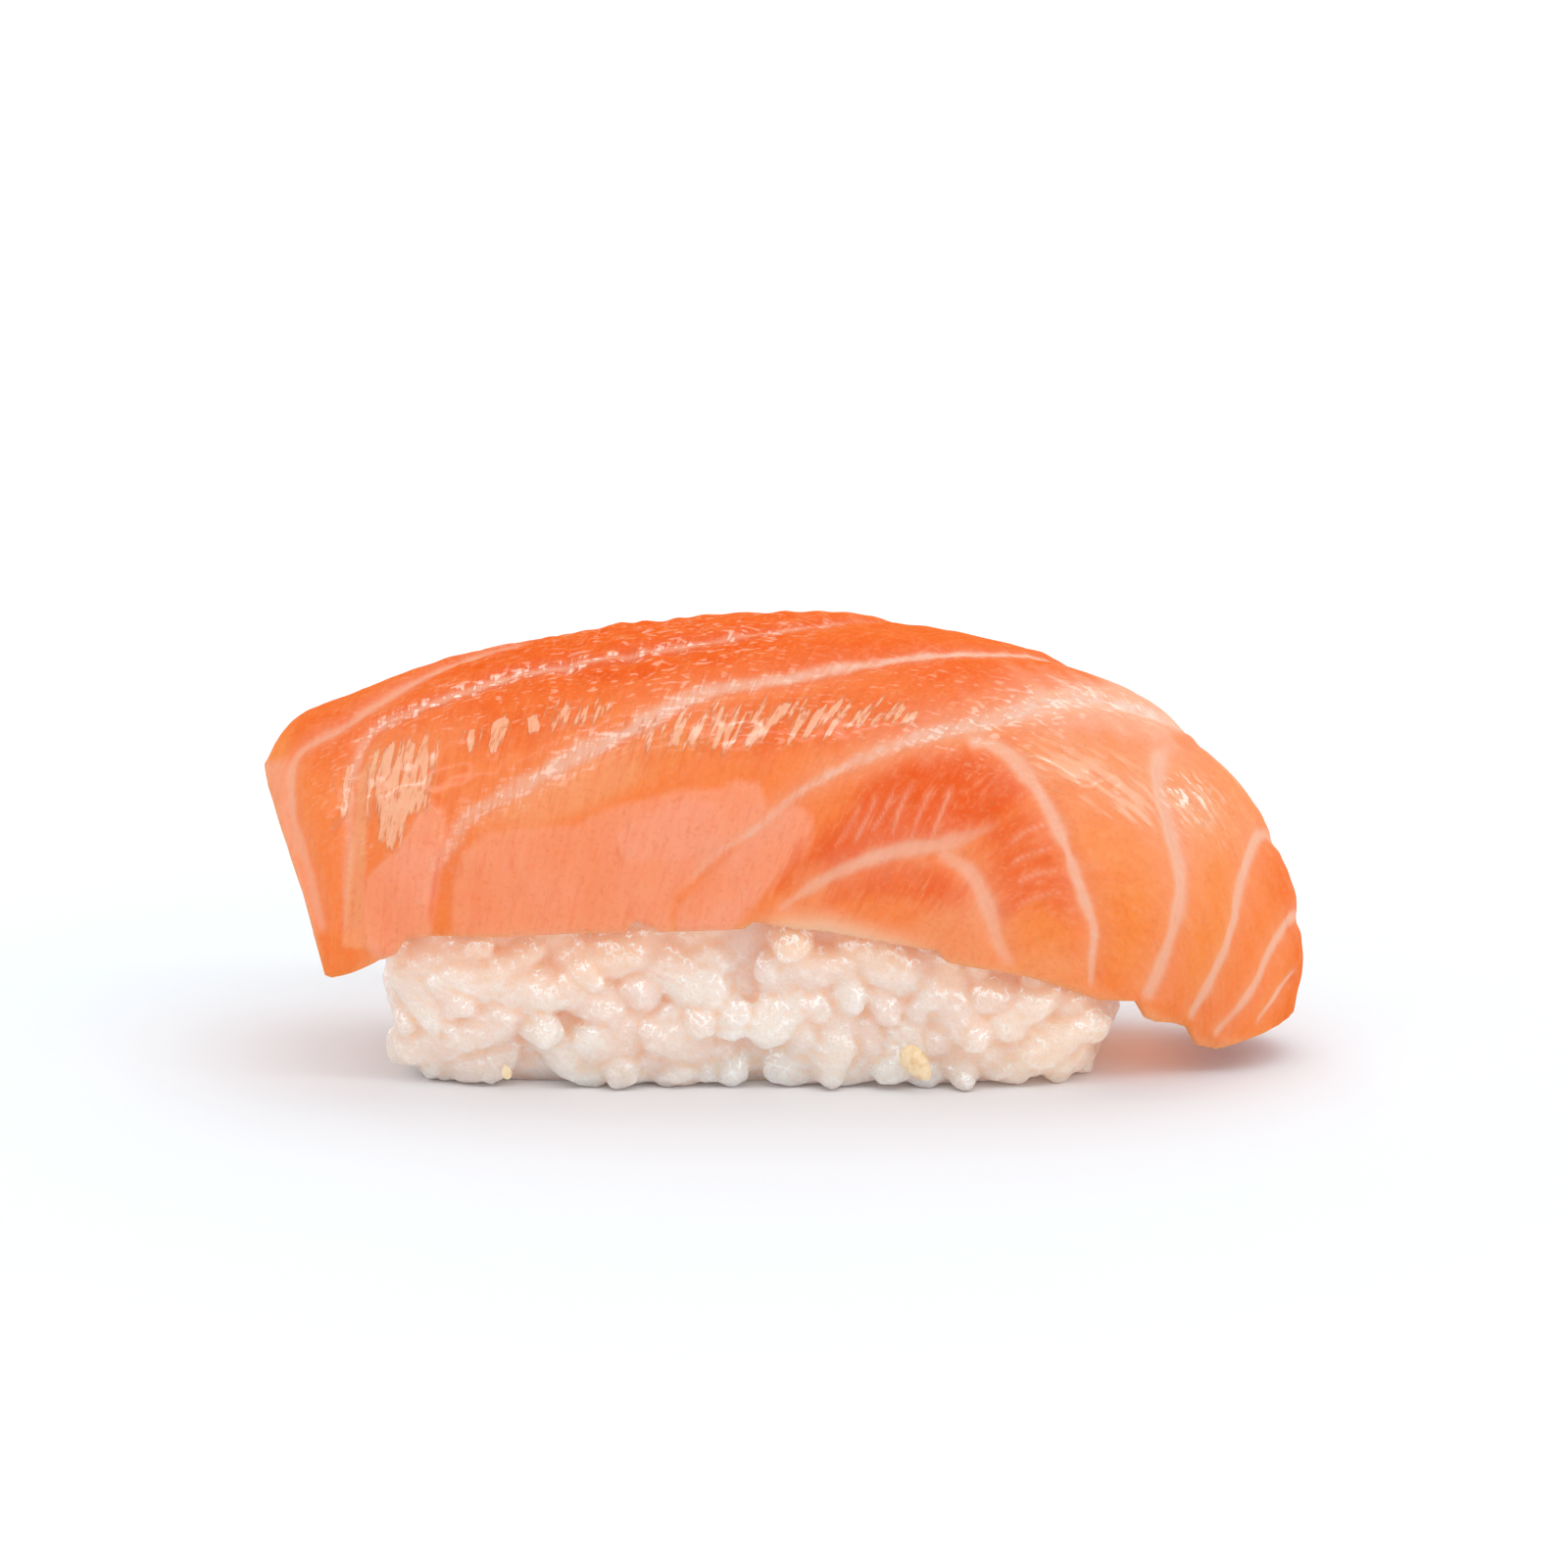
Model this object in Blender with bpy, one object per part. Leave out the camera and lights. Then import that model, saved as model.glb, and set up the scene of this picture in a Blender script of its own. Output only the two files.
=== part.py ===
"""Salmon nigiri: a long thin slice of raw salmon draped over a pressed block of sushi rice.

Units are metres, +Z is up and the long side that faces the viewer looks along -Y. The origin is on
the surface that the rice stands on, under the middle of the object's box.
"""

import math
import random

import bmesh
import bpy
import numpy as np
from mathutils import Matrix, Vector
from mathutils.bvhtree import BVHTree

MM = 0.001

# The slice, as (x, z) in mm at the same stations along it: the crest over the middle of the rice,
# the hem that hangs on the front side and the hem that hangs on the back.
CREST = (
    (-37.2, 21.2), (-35.8, 23.6), (-31.2, 25.9), (-20.2, 29.2), (-8.2, 31.2), (3.8, 31.5),
    (15.0, 29.7), (25.2, 25.6), (32.4, 19.5), (36.4, 11.2), (37.2, 6.6), (36.5, 3.0),
)
FRONT_HEM = (
    (-31.9, 8.9), (-30.6, 9.2), (-27.4, 10.6), (-19.5, 12.0), (-8.5, 12.4), (2.5, 12.4),
    (10.0, 10.4), (17.6, 8.7), (24.2, 5.8), (27.6, 3.7), (29.2, 2.4), (30.4, 1.9),
)
BACK_HEM = (
    (-36.7, 13.2), (-34.0, 12.4), (-29.0, 12.6), (-20.0, 13.6), (-8.5, 14.2), (2.5, 13.2),
    (10.5, 11.4), (18.0, 9.6), (24.8, 7.2), (28.8, 4.8), (30.6, 3.4), (31.8, 2.4),
)
# How far it reaches to either side of the crest, and where along it that narrows.
SLICE_REACH = 14.2 * MM
END_REACH = 13.4 * MM
TIP_REACH = 6.6 * MM
END_WIDENS_BY = 0.2
TIP_NARROWS = (0.62, 1.04)
SHOULDER_POWER = 2.45
LEAN_POWER = 0.65
SECTION_SAMPLES = 160
# How thick it is, and the share of that thickness at the cut end and at the tip.
CREST_THICKNESS = 5.0 * MM
HEM_THICKNESS = 1.4 * MM
THINNING_POWER = 3
END_SHARE = 0.72
END_THICKENS_BY = 0.1
TIP_SHARE = 0.52
TIP_THINS_FROM = 0.6
# Where the hems are cut upwards, in mm: the nick's steep side, how far it slopes away from there
# towards +X (or towards -X where negative), and its height.
FRONT_NICKS = (
    (-26.6, 7.0, 0.9), (-10.6, 1.8, 0.8), (-2.4, 3.0, 0.5), (10.4, -5.5, 0.7), (24.6, -2.6, 0.9),
    (28.4, -2.2, 0.8),
)
BACK_NICKS = (
    (-31.5, 5.0, 0.8), (-16.0, -3.5, 0.7), (-3.0, 4.0, 0.8), (13.0, -5.0, 0.8), (26.0, -3.0, 0.9),
)
NICK_STEEP_WIDTH = 0.7
# The seams between the flakes of the flesh, in mm: x and height on the front side and, where the
# seam runs on over the crest, on the back side.
SEAMS = (
    (((-35.1, 22.8), (-33.4, 24.5), (-29.2, 26.4), (-23.3, 28.2)),
     ((-10.0, 29.0), (2.0, 26.5), (11.0, 21.5), (15.0, 15.5), (16.0, 10.5))),
    (((-30.8, 11.0), (-30.1, 22.0), (-24.5, 26.7), (-13.7, 29.5), (-3.0, 31.2)),
     ((12.0, 28.5), (20.0, 22.0), (24.0, 14.0), (24.5, 8.0))),
    (((-23.5, 19.5), (-16.5, 24.2), (-7.0, 28.2), (4.4, 29.9), (13.0, 29.8)),
     ((23.0, 25.0), (28.0, 18.0), (29.0, 10.5), (28.0, 6.0))),
    (((-4.5, 18.5), (2.9, 23.4), (10.3, 25.6), (17.6, 26.7), (25.0, 25.0)),
     ((31.5, 17.5), (32.5, 11.0), (30.5, 5.0))),
    (((13.3, 25.5), (17.4, 21.7), (20.4, 15.8), (21.6, 12.5), (20.7, 8.3)), ()),
    (((-1.1, 13.5), (7.3, 17.4), (12.5, 16.4), (14.7, 12.0)), ()),
    (((26.3, 22.0), (27.5, 15.7), (27.5, 12.8), (25.3, 7.0)), ()),
    (((33.2, 17.0), (31.7, 11.6), (28.4, 4.7)), ()),
    (((35.8, 10.3), (34.0, 7.4), (30.2, 3.6)), ()),
    ((), ((-36.6, 19.5), (-25.0, 24.0), (-12.0, 23.0), (-3.5, 18.5), (-0.5, 14.0))),
)
SEAM_DEPTH = 0.45 * MM
SEAM_HALF_WIDTH = 1.3 * MM
SEAM_SPACING = 0.4 * MM
SEAM_ROWS = 150
SEAM_COLUMNS = 120
SLICE_ROWS = 52
SLICE_COLUMNS = 24

# The rice block, out to the faces of its grains.
RICE_LEFT = -28.2 * MM
RICE_RIGHT = 23.4 * MM
RICE_HALF_WIDTH = 12.4 * MM
RICE_PLAN_POWER = 7.0
RICE_FOOT_INSET = 1.6 * MM
RICE_FOOT_HEIGHT = 7.0 * MM
RICE_EDGE = 1.3 * MM
RICE_AXIS_HEIGHT = 11.0 * MM
RICE_AXIS_SHARE = 0.6
CORE_DEPTH = 1.2 * MM
CORE_LEVELS = (0.0, 1.2, 3.0, 6.0, 9.0, 12.0, 15.0, 18.0, 22.0, 27.0)
CORE_CAP_SHARES = (0.7, 0.35)
CORE_SIDES = 32
CLEARANCE = 0.35 * MM
RIM_STEPS = 720
# The low arch in the block's front foot, where it stands clear of the surface: x, half width, height.
FOOT_ARCH = (-17.5, 5.0, 2.6)

# Swollen short-grain rice.
GRAIN_LENGTH = 6.6 * MM
GRAIN_WIDTH = 3.7 * MM
GRAIN_THICKNESS = 3.1 * MM
GRAIN_SPREAD = 0.14
GRAIN_LEAN = 38.0
GRAIN_TILT = 9.0
GRAIN_PITCH = 3.3 * MM
GRAIN_SINK = 1.15 * MM
GRAIN_PLUMPNESS = 0.7
GRAIN_SIDES = 5
GRAIN_RINGS = 3
GRAIN_SEED = 21
GRAIN_TRIES = 6000
GRAIN_LOWEST = 0.8 * MM
TUCKED_UNDER = 2.4 * MM
END_REACH_IN = 2.5 * MM
END_GRAIN_TOP = 15.0 * MM
PRESS_STEP = 0.2 * MM
PRESS_STEPS = 14

# The sesame seed that sticks to the front foot of the rice.
SEED_PLACE = (8.9 * MM, -11.7 * MM, 2.4 * MM)
SEED_SIZE = (3.2 * MM, 1.9 * MM, 1.2 * MM)
SEED_LEAN = -50.0

SALMON_COLOUR = (0.93, 0.27, 0.09, 1.0)
SALMON_ROUGHNESS = 0.32
RICE_COLOUR = (0.86, 0.80, 0.72, 1.0)
RICE_ROUGHNESS = 0.45


def clear_scene():
    """Removes every object that the scene starts with."""
    for obj in list(bpy.data.objects):
        bpy.data.objects.remove(obj)


def food_material(name, colour, roughness):
    """A plain finish in the food's own colour."""
    made = bpy.data.materials.new(name)
    made.use_nodes = True
    shader = made.node_tree.nodes["Principled BSDF"]
    shader.inputs["Base Color"].default_value = colour
    shader.inputs["Roughness"].default_value = roughness
    shader.inputs["Metallic"].default_value = 0.0
    return made


def add_object(name, points, faces, material):
    """A smooth-shaded mesh object with its faces pointing outwards."""
    mesh = bpy.data.meshes.new(name)
    mesh.from_pydata([tuple(p) for p in points], [], faces)
    mesh.update()
    mesh.materials.append(material)
    work = bmesh.new()
    work.from_mesh(mesh)
    bmesh.ops.recalc_face_normals(work, faces=work.faces)
    bmesh.ops.triangulate(work, faces=work.faces)
    work.to_mesh(mesh)
    work.free()
    mesh.shade_smooth()
    obj = bpy.data.objects.new(name, mesh)
    bpy.context.scene.collection.objects.link(obj)
    return obj


def smooth_step(low, high, value):
    """0 below low, 1 above high and an even rise between them."""
    t = np.clip((value - low) / (high - low), 0.0, 1.0)
    return t * t * (3.0 - 2.0 * t)


def signed_power(value, power):
    """A power that keeps the value's sign, as superellipses need."""
    return np.sign(value) * np.abs(value) ** power


def through(knots, values, at):
    """A smooth curve through values at uneven knots, read at the given places."""
    slopes = np.gradient(values, knots, axis=0)
    first = np.clip(np.searchsorted(knots, at) - 1, 0, len(knots) - 2)
    step = (knots[first + 1] - knots[first])[:, None]
    t = (at[:, None] - knots[first][:, None]) / step
    return (
        (2 * t**3 - 3 * t**2 + 1) * values[first]
        + (t**3 - 2 * t**2 + t) * step * slopes[first]
        + (3 * t**2 - 2 * t**3) * values[first + 1]
        + (t**3 - t**2) * step * slopes[first + 1]
    )


def crest_knots():
    """Where the stations lie along the crest, from 0 at the cut end to 1 at the tip."""
    steps = np.linalg.norm(np.diff(np.array(CREST), axis=0), axis=1)
    lengths = np.concatenate([[0.0], np.cumsum(steps)])
    return lengths / lengths[-1]


def nicked(hem, nicks):
    """A hem with its nicks."""
    x = hem[:, 0] / MM
    for place, run, height in nicks:
        away = (x - place) / run
        steep = np.clip(1.0 + away * abs(run) / NICK_STEEP_WIDTH, 0.0, 1.0)
        hem[:, 1] += height * MM * np.where(away > 0.0, np.clip(1.0 - away, 0.0, 1.0), steep)
    return hem


def reach_at(along):
    """How far the slice reaches to the front and to the back at places along it."""
    return (
        SLICE_REACH
        - (SLICE_REACH - END_REACH) * (1.0 - smooth_step(0.0, END_WIDENS_BY, along))
        - (SLICE_REACH - TIP_REACH) * smooth_step(*TIP_NARROWS, along)
    )


def half_section(crest, hem, reach, side, columns):
    """Points down one side of the slice, evenly spaced from the crest to the hem."""
    turn = np.linspace(0.0, math.pi / 2, SECTION_SAMPLES)
    out = np.sin(turn) ** (2 / SHOULDER_POWER)
    down = 1.0 - np.cos(turn) ** (2 / SHOULDER_POWER)
    line = np.stack(
        [
            crest[0] + (hem[0] - crest[0]) * down**LEAN_POWER,
            side * reach * out,
            crest[1] + (hem[1] - crest[1]) * down,
        ],
        axis=1,
    )
    lengths = np.concatenate([[0.0], np.cumsum(np.linalg.norm(np.diff(line, axis=0), axis=1))])
    even = np.linspace(0.0, lengths[-1], columns + 1)
    return np.stack([np.interp(even, lengths, line[:, i]) for i in range(3)], axis=1)


def slice_top(rows, columns):
    """The upper face of the slice as a grid of points, from the cut end to the tip and from the
    back hem to the front hem."""
    along = np.linspace(0.0, 1.0, rows + 1)
    knots = crest_knots()
    crest = through(knots, np.array(CREST) * MM, along)
    front = nicked(through(knots, np.array(FRONT_HEM) * MM, along), FRONT_NICKS)
    back = nicked(through(knots, np.array(BACK_HEM) * MM, along), BACK_NICKS)
    reach = reach_at(along)
    half = columns // 2
    grid = np.empty((rows + 1, columns + 1, 3))
    for row in range(rows + 1):
        grid[row, half::-1] = half_section(crest[row], back[row], reach[row], 1.0, half)
        grid[row, half:] = half_section(crest[row], front[row], reach[row], -1.0, half)
    return grid


def grid_normals(grid):
    """The outward normal at each point of the slice's upper face."""
    normals = np.cross(np.gradient(grid, axis=1), np.gradient(grid, axis=0))
    return normals / np.linalg.norm(normals, axis=2, keepdims=True)


def seam_points(grid):
    """Points spaced evenly along every seam, on the slice's upper face."""
    half = grid.shape[1] // 2
    sides = (grid[:, half:].reshape(-1, 3), grid[:, : half + 1].reshape(-1, 3))
    lines = []
    for seam in SEAMS:
        line = []
        for side, places in zip(sides, seam):
            for place in places:
                gaps = side[:, ::2] - np.array(place) * MM
                line.append(side[np.argmin((gaps**2).sum(axis=1))])
        line = np.array(line)
        lengths = np.concatenate([[0.0], np.cumsum(np.linalg.norm(np.diff(line, axis=0), axis=1))])
        even = np.arange(0.0, lengths[-1], SEAM_SPACING)
        lines.append(through(lengths, line, even))
    return np.concatenate(lines)


def seam_grooves(grid, seams):
    """How deep each point of the grid lies in the grooves along the seams."""
    gaps = np.linalg.norm(grid[:, :, None, :] - seams[None, None], axis=3).min(axis=2)
    return SEAM_DEPTH * (1.0 - smooth_step(0.0, SEAM_HALF_WIDTH, gaps))


def slice_thickness(rows, columns):
    """How thick the slice is at each point of its grid: thin at the hems, the end and the tip."""
    across = np.abs(np.linspace(-1.0, 1.0, columns + 1))[None, :] ** THINNING_POWER
    along = np.linspace(0.0, 1.0, rows + 1)[:, None]
    share = 1.0 - (1.0 - END_SHARE) * (1.0 - smooth_step(0.0, END_THICKENS_BY, along))
    share = share - (1.0 - TIP_SHARE) * smooth_step(TIP_THINS_FROM, 1.0, along)
    return (CREST_THICKNESS * (1.0 - across) + HEM_THICKNESS * across) * share


def grid_faces(rows, columns, offset, flip):
    """Four-sided faces over a grid of points that starts at the given offset."""
    faces = []
    for row in range(rows):
        for column in range(columns):
            a = offset + row * (columns + 1) + column
            face = (a, a + 1, a + columns + 2, a + columns + 1)
            faces.append(face[::-1] if flip else face)
    return faces


def rim_loop(rows, columns):
    """The grid's edge points in order, once round."""
    wide = columns + 1
    loop = list(range(wide))
    loop += [row * wide + columns for row in range(1, rows + 1)]
    loop += [rows * wide + column for column in range(columns - 1, -1, -1)]
    loop += [row * wide for row in range(rows - 1, 0, -1)]
    return loop


def build_slice(material):
    """The salmon slice: its upper face, its lower face and the cut edge between them."""
    top = slice_top(SLICE_ROWS, SLICE_COLUMNS)
    normals = grid_normals(top)
    thickness = slice_thickness(SLICE_ROWS, SLICE_COLUMNS)[..., None]
    under = top - normals * thickness
    seams = seam_points(slice_top(SEAM_ROWS, SEAM_COLUMNS))
    top = top - normals * seam_grooves(top, seams)[..., None]
    points = np.concatenate([top.reshape(-1, 3), under.reshape(-1, 3)])
    count = top.shape[0] * top.shape[1]
    faces = grid_faces(SLICE_ROWS, SLICE_COLUMNS, 0, False)
    faces += grid_faces(SLICE_ROWS, SLICE_COLUMNS, count, True)
    loop = rim_loop(SLICE_ROWS, SLICE_COLUMNS)
    for a, b in zip(loop, loop[1:] + loop[:1]):
        faces.append((b, a, a + count, b + count))
    return add_object("salmon_slice", points, faces, material)


def tree_of(obj):
    """A search tree over an object's faces."""
    work = bmesh.new()
    work.from_mesh(obj.data)
    tree = BVHTree.FromBMesh(work)
    work.free()
    return tree


def block_point(turn, height, depth=0.0):
    """A point on the side of the rice block, or at a depth under it: turn goes round the block's
    upright axis from +X, in radians, and height is above the surface that it stands on."""
    foot = RICE_FOOT_INSET * (1.0 - smooth_step(0.0, RICE_FOOT_HEIGHT, height))
    edge = RICE_EDGE * max(0.0, 1.0 - height / RICE_EDGE) ** 2
    inset = float(foot) + edge + depth
    power = 2 / RICE_PLAN_POWER
    middle = (RICE_LEFT + RICE_RIGHT) / 2
    x = middle + ((RICE_RIGHT - RICE_LEFT) / 2 - inset) * signed_power(math.cos(turn), power)
    y = (RICE_HALF_WIDTH - inset) * signed_power(math.sin(turn), power)
    return Vector((float(x), float(y), height))


def under_slice(point, tree):
    """The point, drawn in towards the block's axis where the slice would be in its way."""
    x = min(max(point.x, RICE_LEFT * RICE_AXIS_SHARE), RICE_RIGHT * RICE_AXIS_SHARE)
    axis = Vector((x, 0.0, RICE_AXIS_HEIGHT))
    way = point - axis
    hit, _, _, distance = tree.ray_cast(axis, way.normalized())
    if hit is not None and way.length > distance - CLEARANCE:
        return axis + way.normalized() * (distance - CLEARANCE)
    return point


def core_rings(tree):
    """The rings of points that the core is lofted through, from its flat base up to its cap."""
    turns = [2 * math.pi * side / CORE_SIDES for side in range(CORE_SIDES)]
    rings = [[block_point(turn, level * MM, CORE_DEPTH) for turn in turns] for level in CORE_LEVELS]
    top = rings[-1]
    middle = sum(top, Vector()) / CORE_SIDES
    for share in CORE_CAP_SHARES:
        rings.append([middle + (point - middle) * share for point in top])
    return [rings[0]] + [[under_slice(point, tree) for point in ring] for ring in rings[1:]]


def build_core(tree, material):
    """The solid middle of the rice block, fitted up to the underside of the slice."""
    rings = core_rings(tree)
    points = [point for ring in rings for point in ring]
    faces = [tuple(range(CORE_SIDES)), tuple(range(len(points) - CORE_SIDES, len(points)))]
    for row in range(len(rings) - 1):
        for side in range(CORE_SIDES):
            a = row * CORE_SIDES + side
            b = row * CORE_SIDES + (side + 1) % CORE_SIDES
            faces.append((a, b, b + CORE_SIDES, a + CORE_SIDES))
    return add_object("rice_block", points, faces, material)


def grain_shape(length, width, thickness):
    """Points and faces of one plump grain with few sides, long along X."""
    points = [(-length / 2, 0.0, 0.0)]
    for ring in range(1, GRAIN_RINGS + 1):
        turn = math.pi * ring / (GRAIN_RINGS + 1)
        for side in range(GRAIN_SIDES):
            around = 2 * math.pi * (side + 0.5 * (ring % 2)) / GRAIN_SIDES
            girth = math.sin(turn) ** GRAIN_PLUMPNESS
            points.append(
                (
                    -length / 2 * math.cos(turn),
                    width / 2 * girth * math.cos(around),
                    thickness / 2 * girth * math.sin(around),
                )
            )
    points.append((length / 2, 0.0, 0.0))
    faces = []
    for ring in range(GRAIN_RINGS - 1):
        for side in range(GRAIN_SIDES):
            a = 1 + ring * GRAIN_SIDES + side
            b = 1 + ring * GRAIN_SIDES + (side + 1) % GRAIN_SIDES
            faces.append((a, b, b + GRAIN_SIDES, a + GRAIN_SIDES))
    tail = len(points) - 1
    last = 1 + (GRAIN_RINGS - 1) * GRAIN_SIDES
    for side in range(GRAIN_SIDES):
        after = (side + 1) % GRAIN_SIDES
        faces.append((0, 1 + after, 1 + side))
        faces.append((tail, last + side, last + after))
    return points, faces


def hem_height(x, front):
    """How high the slice's hem hangs above the surface at a place along the rice."""
    hem = np.array(FRONT_HEM if front else BACK_HEM) * MM
    return float(np.interp(x, hem[:, 0], hem[:, 1]))


def in_arch(place):
    """True for a place inside the low arch in the front foot."""
    middle, half_width, height = FOOT_ARCH
    away = (place.x / MM - middle) / half_width
    return place.y < 0.0 and place.z < height * MM * (1.0 - away**2)


def shows(place):
    """True for a grain's place that the slice leaves in view, or that tucks just under its hem."""
    if in_arch(place):
        return False
    near_end = place.x < RICE_LEFT + END_REACH_IN or place.x > RICE_RIGHT - END_REACH_IN
    if near_end and place.z < END_GRAIN_TOP:
        return True
    return place.z < hem_height(place.x, place.y < 0) + TUCKED_UNDER


def grain_places():
    """Where the grains lie: a seeded even scatter over the sides and ends of the block. Each place
    is its point on the block's surface, the outward direction, the lie of the grain and its size."""
    draw = random.Random(GRAIN_SEED)
    turns = [2 * math.pi * step / RIM_STEPS for step in range(RIM_STEPS + 1)]
    rim = [block_point(turn, RICE_AXIS_HEIGHT) for turn in turns]
    walked = np.cumsum([0.0] + [(b - a).length for a, b in zip(rim, rim[1:])])
    places = []
    for _ in range(GRAIN_TRIES):
        turn = float(np.interp(draw.uniform(0.0, walked[-1]), walked, turns))
        height = draw.uniform(GRAIN_LOWEST, END_GRAIN_TOP)
        lean = math.radians(draw.gauss(0.0, GRAIN_LEAN))
        tilt = math.radians(draw.gauss(0.0, GRAIN_TILT))
        size = 1.0 + GRAIN_SPREAD * draw.uniform(-1.0, 1.0)
        place = block_point(turn, height)
        if not shows(place):
            continue
        if any((place - other[0]).length < GRAIN_PITCH for other in places):
            continue
        step = math.pi / RIM_STEPS
        level = (block_point(turn + step, height) - block_point(turn - step, height)).normalized()
        outward = level.cross(Vector((0.0, 0.0, 1.0)))
        turned = Matrix.Rotation(lean, 3, outward) @ level
        lie = (turned + outward * math.sin(tilt)).normalized()
        places.append((place, outward, lie, size))
    return places


def placed(shape, centre, lie, outward):
    """The shape's points with its length along lie and its thickness along outward."""
    across = outward.cross(lie).normalized()
    up = lie.cross(across).normalized()
    turn = Matrix((lie, across, up)).transposed()
    return [centre + turn @ Vector(p) for p in shape]


def sunk_clear(points, faces, outward, tree):
    """The grain's points, pressed into the block until they clear the slice and the ground, or
    None where they can't."""
    for _ in range(PRESS_STEPS):
        near = min(tree.find_nearest(p)[3] for p in points)
        crosses = BVHTree.FromPolygons(points, faces).overlap(tree)
        lowest = min(p.z for p in points)
        if lowest < 0.0:
            points = [p + Vector((0.0, 0.0, -lowest)) for p in points]
        elif crosses or near < CLEARANCE:
            points = [p - outward * PRESS_STEP for p in points]
        else:
            return points
    return None


def fuse(core, grains):
    """Joins the core and its grains into one solid and keeps only its outer skin."""
    group = bpy.data.collections.new("grains")
    bpy.context.scene.collection.children.link(group)
    for grain in grains:
        bpy.context.scene.collection.objects.unlink(grain)
        group.objects.link(grain)
    union = core.modifiers.new("fuse", "BOOLEAN")
    union.operation = "UNION"
    union.operand_type = "COLLECTION"
    union.collection = group
    union.solver = "MANIFOLD"
    bpy.context.view_layer.objects.active = core
    bpy.ops.object.modifier_apply(modifier=union.name)
    for grain in grains:
        bpy.data.objects.remove(grain)
    bpy.data.collections.remove(group)
    keep_outer_skin(core)


def keep_outer_skin(obj):
    """Deletes every closed shell of the mesh but the largest: sealed gaps and loose scraps."""
    work = bmesh.new()
    work.from_mesh(obj.data)
    bmesh.ops.triangulate(work, faces=work.faces)
    left = set(work.verts)
    shells = []
    while left:
        front = [left.pop()]
        shell = set(front)
        while front:
            for edge in front.pop().link_edges:
                for vert in edge.verts:
                    if vert in left:
                        left.remove(vert)
                        shell.add(vert)
                        front.append(vert)
        shells.append(shell)
    largest = max(shells, key=len)
    bmesh.ops.delete(work, geom=[v for s in shells if s is not largest for v in s], context="VERTS")
    work.to_mesh(obj.data)
    work.free()
    obj.data.shade_smooth()


def build_rice(tree, material):
    """The rice block: the core with its grains and the sesame seed fused on."""
    core = build_core(tree, material)
    grains = []
    for index, (place, outward, lie, size) in enumerate(grain_places()):
        shape, faces = grain_shape(GRAIN_LENGTH * size, GRAIN_WIDTH * size, GRAIN_THICKNESS)
        points = placed(shape, place - outward * GRAIN_SINK, lie, outward)
        points = sunk_clear(points, faces, outward, tree)
        if points is not None:
            grains.append(add_object(f"grain_{index:03d}", points, faces, material))
    shape, faces = grain_shape(*SEED_SIZE)
    lie = Vector((math.cos(math.radians(SEED_LEAN)), 0.0, math.sin(math.radians(SEED_LEAN))))
    points = placed(shape, Vector(SEED_PLACE), lie, Vector((0.0, -1.0, 0.0)))
    grains.append(add_object("sesame_seed", points, faces, material))
    fuse(core, grains)
    return core


def main():
    """Builds the slice first, because the rice fits up to its underside."""
    clear_scene()
    salmon = food_material("salmon", SALMON_COLOUR, SALMON_ROUGHNESS)
    rice = food_material("rice", RICE_COLOUR, RICE_ROUGHNESS)
    slice_object = build_slice(salmon)
    build_rice(tree_of(slice_object), rice)


main()
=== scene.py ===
"""Salmon nigiri: a slice of raw salmon draped over pressed sushi rice, dressed for a close picture.

The slice and the rice are built from the same sizes as the solids they stand for, far finer, and are
shaded by node materials that read where the seams of fat, the fibres and the grains lie. Some
highlights, glows and shade are painted into their colours and into the table's.
"""

import functools
import logging
import math
import random
from dataclasses import dataclass
from enum import Enum

import bpy
import numpy as np
from mathutils import Matrix, Vector
from mathutils.bvhtree import BVHTree
from mathutils.kdtree import KDTree


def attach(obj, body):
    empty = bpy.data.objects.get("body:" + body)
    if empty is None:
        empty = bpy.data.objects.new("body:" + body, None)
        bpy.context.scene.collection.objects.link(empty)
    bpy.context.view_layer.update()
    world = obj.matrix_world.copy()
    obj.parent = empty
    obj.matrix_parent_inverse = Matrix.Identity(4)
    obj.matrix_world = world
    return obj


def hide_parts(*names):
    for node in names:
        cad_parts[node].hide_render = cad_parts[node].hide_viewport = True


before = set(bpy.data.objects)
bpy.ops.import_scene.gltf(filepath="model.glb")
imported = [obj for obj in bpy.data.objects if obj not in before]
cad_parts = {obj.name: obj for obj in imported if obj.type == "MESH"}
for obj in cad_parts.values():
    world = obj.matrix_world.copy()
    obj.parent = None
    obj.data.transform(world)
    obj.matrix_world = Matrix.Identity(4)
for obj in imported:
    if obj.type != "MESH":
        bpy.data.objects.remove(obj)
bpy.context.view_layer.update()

LOG = logging.getLogger("nigiri")
MM = 0.001
FAR = 1e9
TINY = 1e-12
Colour = tuple[float, float, float, float]
Place = tuple[float, float]


def smooth_step(low: float, high: float, value: np.ndarray) -> np.ndarray:
    """Rises smoothly from 0 to 1.

    Args:
        low: The value at which the rise starts.
        high: The value at which it ends.
        value: The values to read the rise at.

    Returns:
        The rise at each value.
    """
    t = np.clip((value - low) / (high - low), 0.0, 1.0)
    return t * t * (3.0 - 2.0 * t)


def signed_power(value: float, power: float) -> float:
    """A power that keeps the value's sign, as superellipses need."""
    return math.copysign(abs(value) ** power, value)


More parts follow.
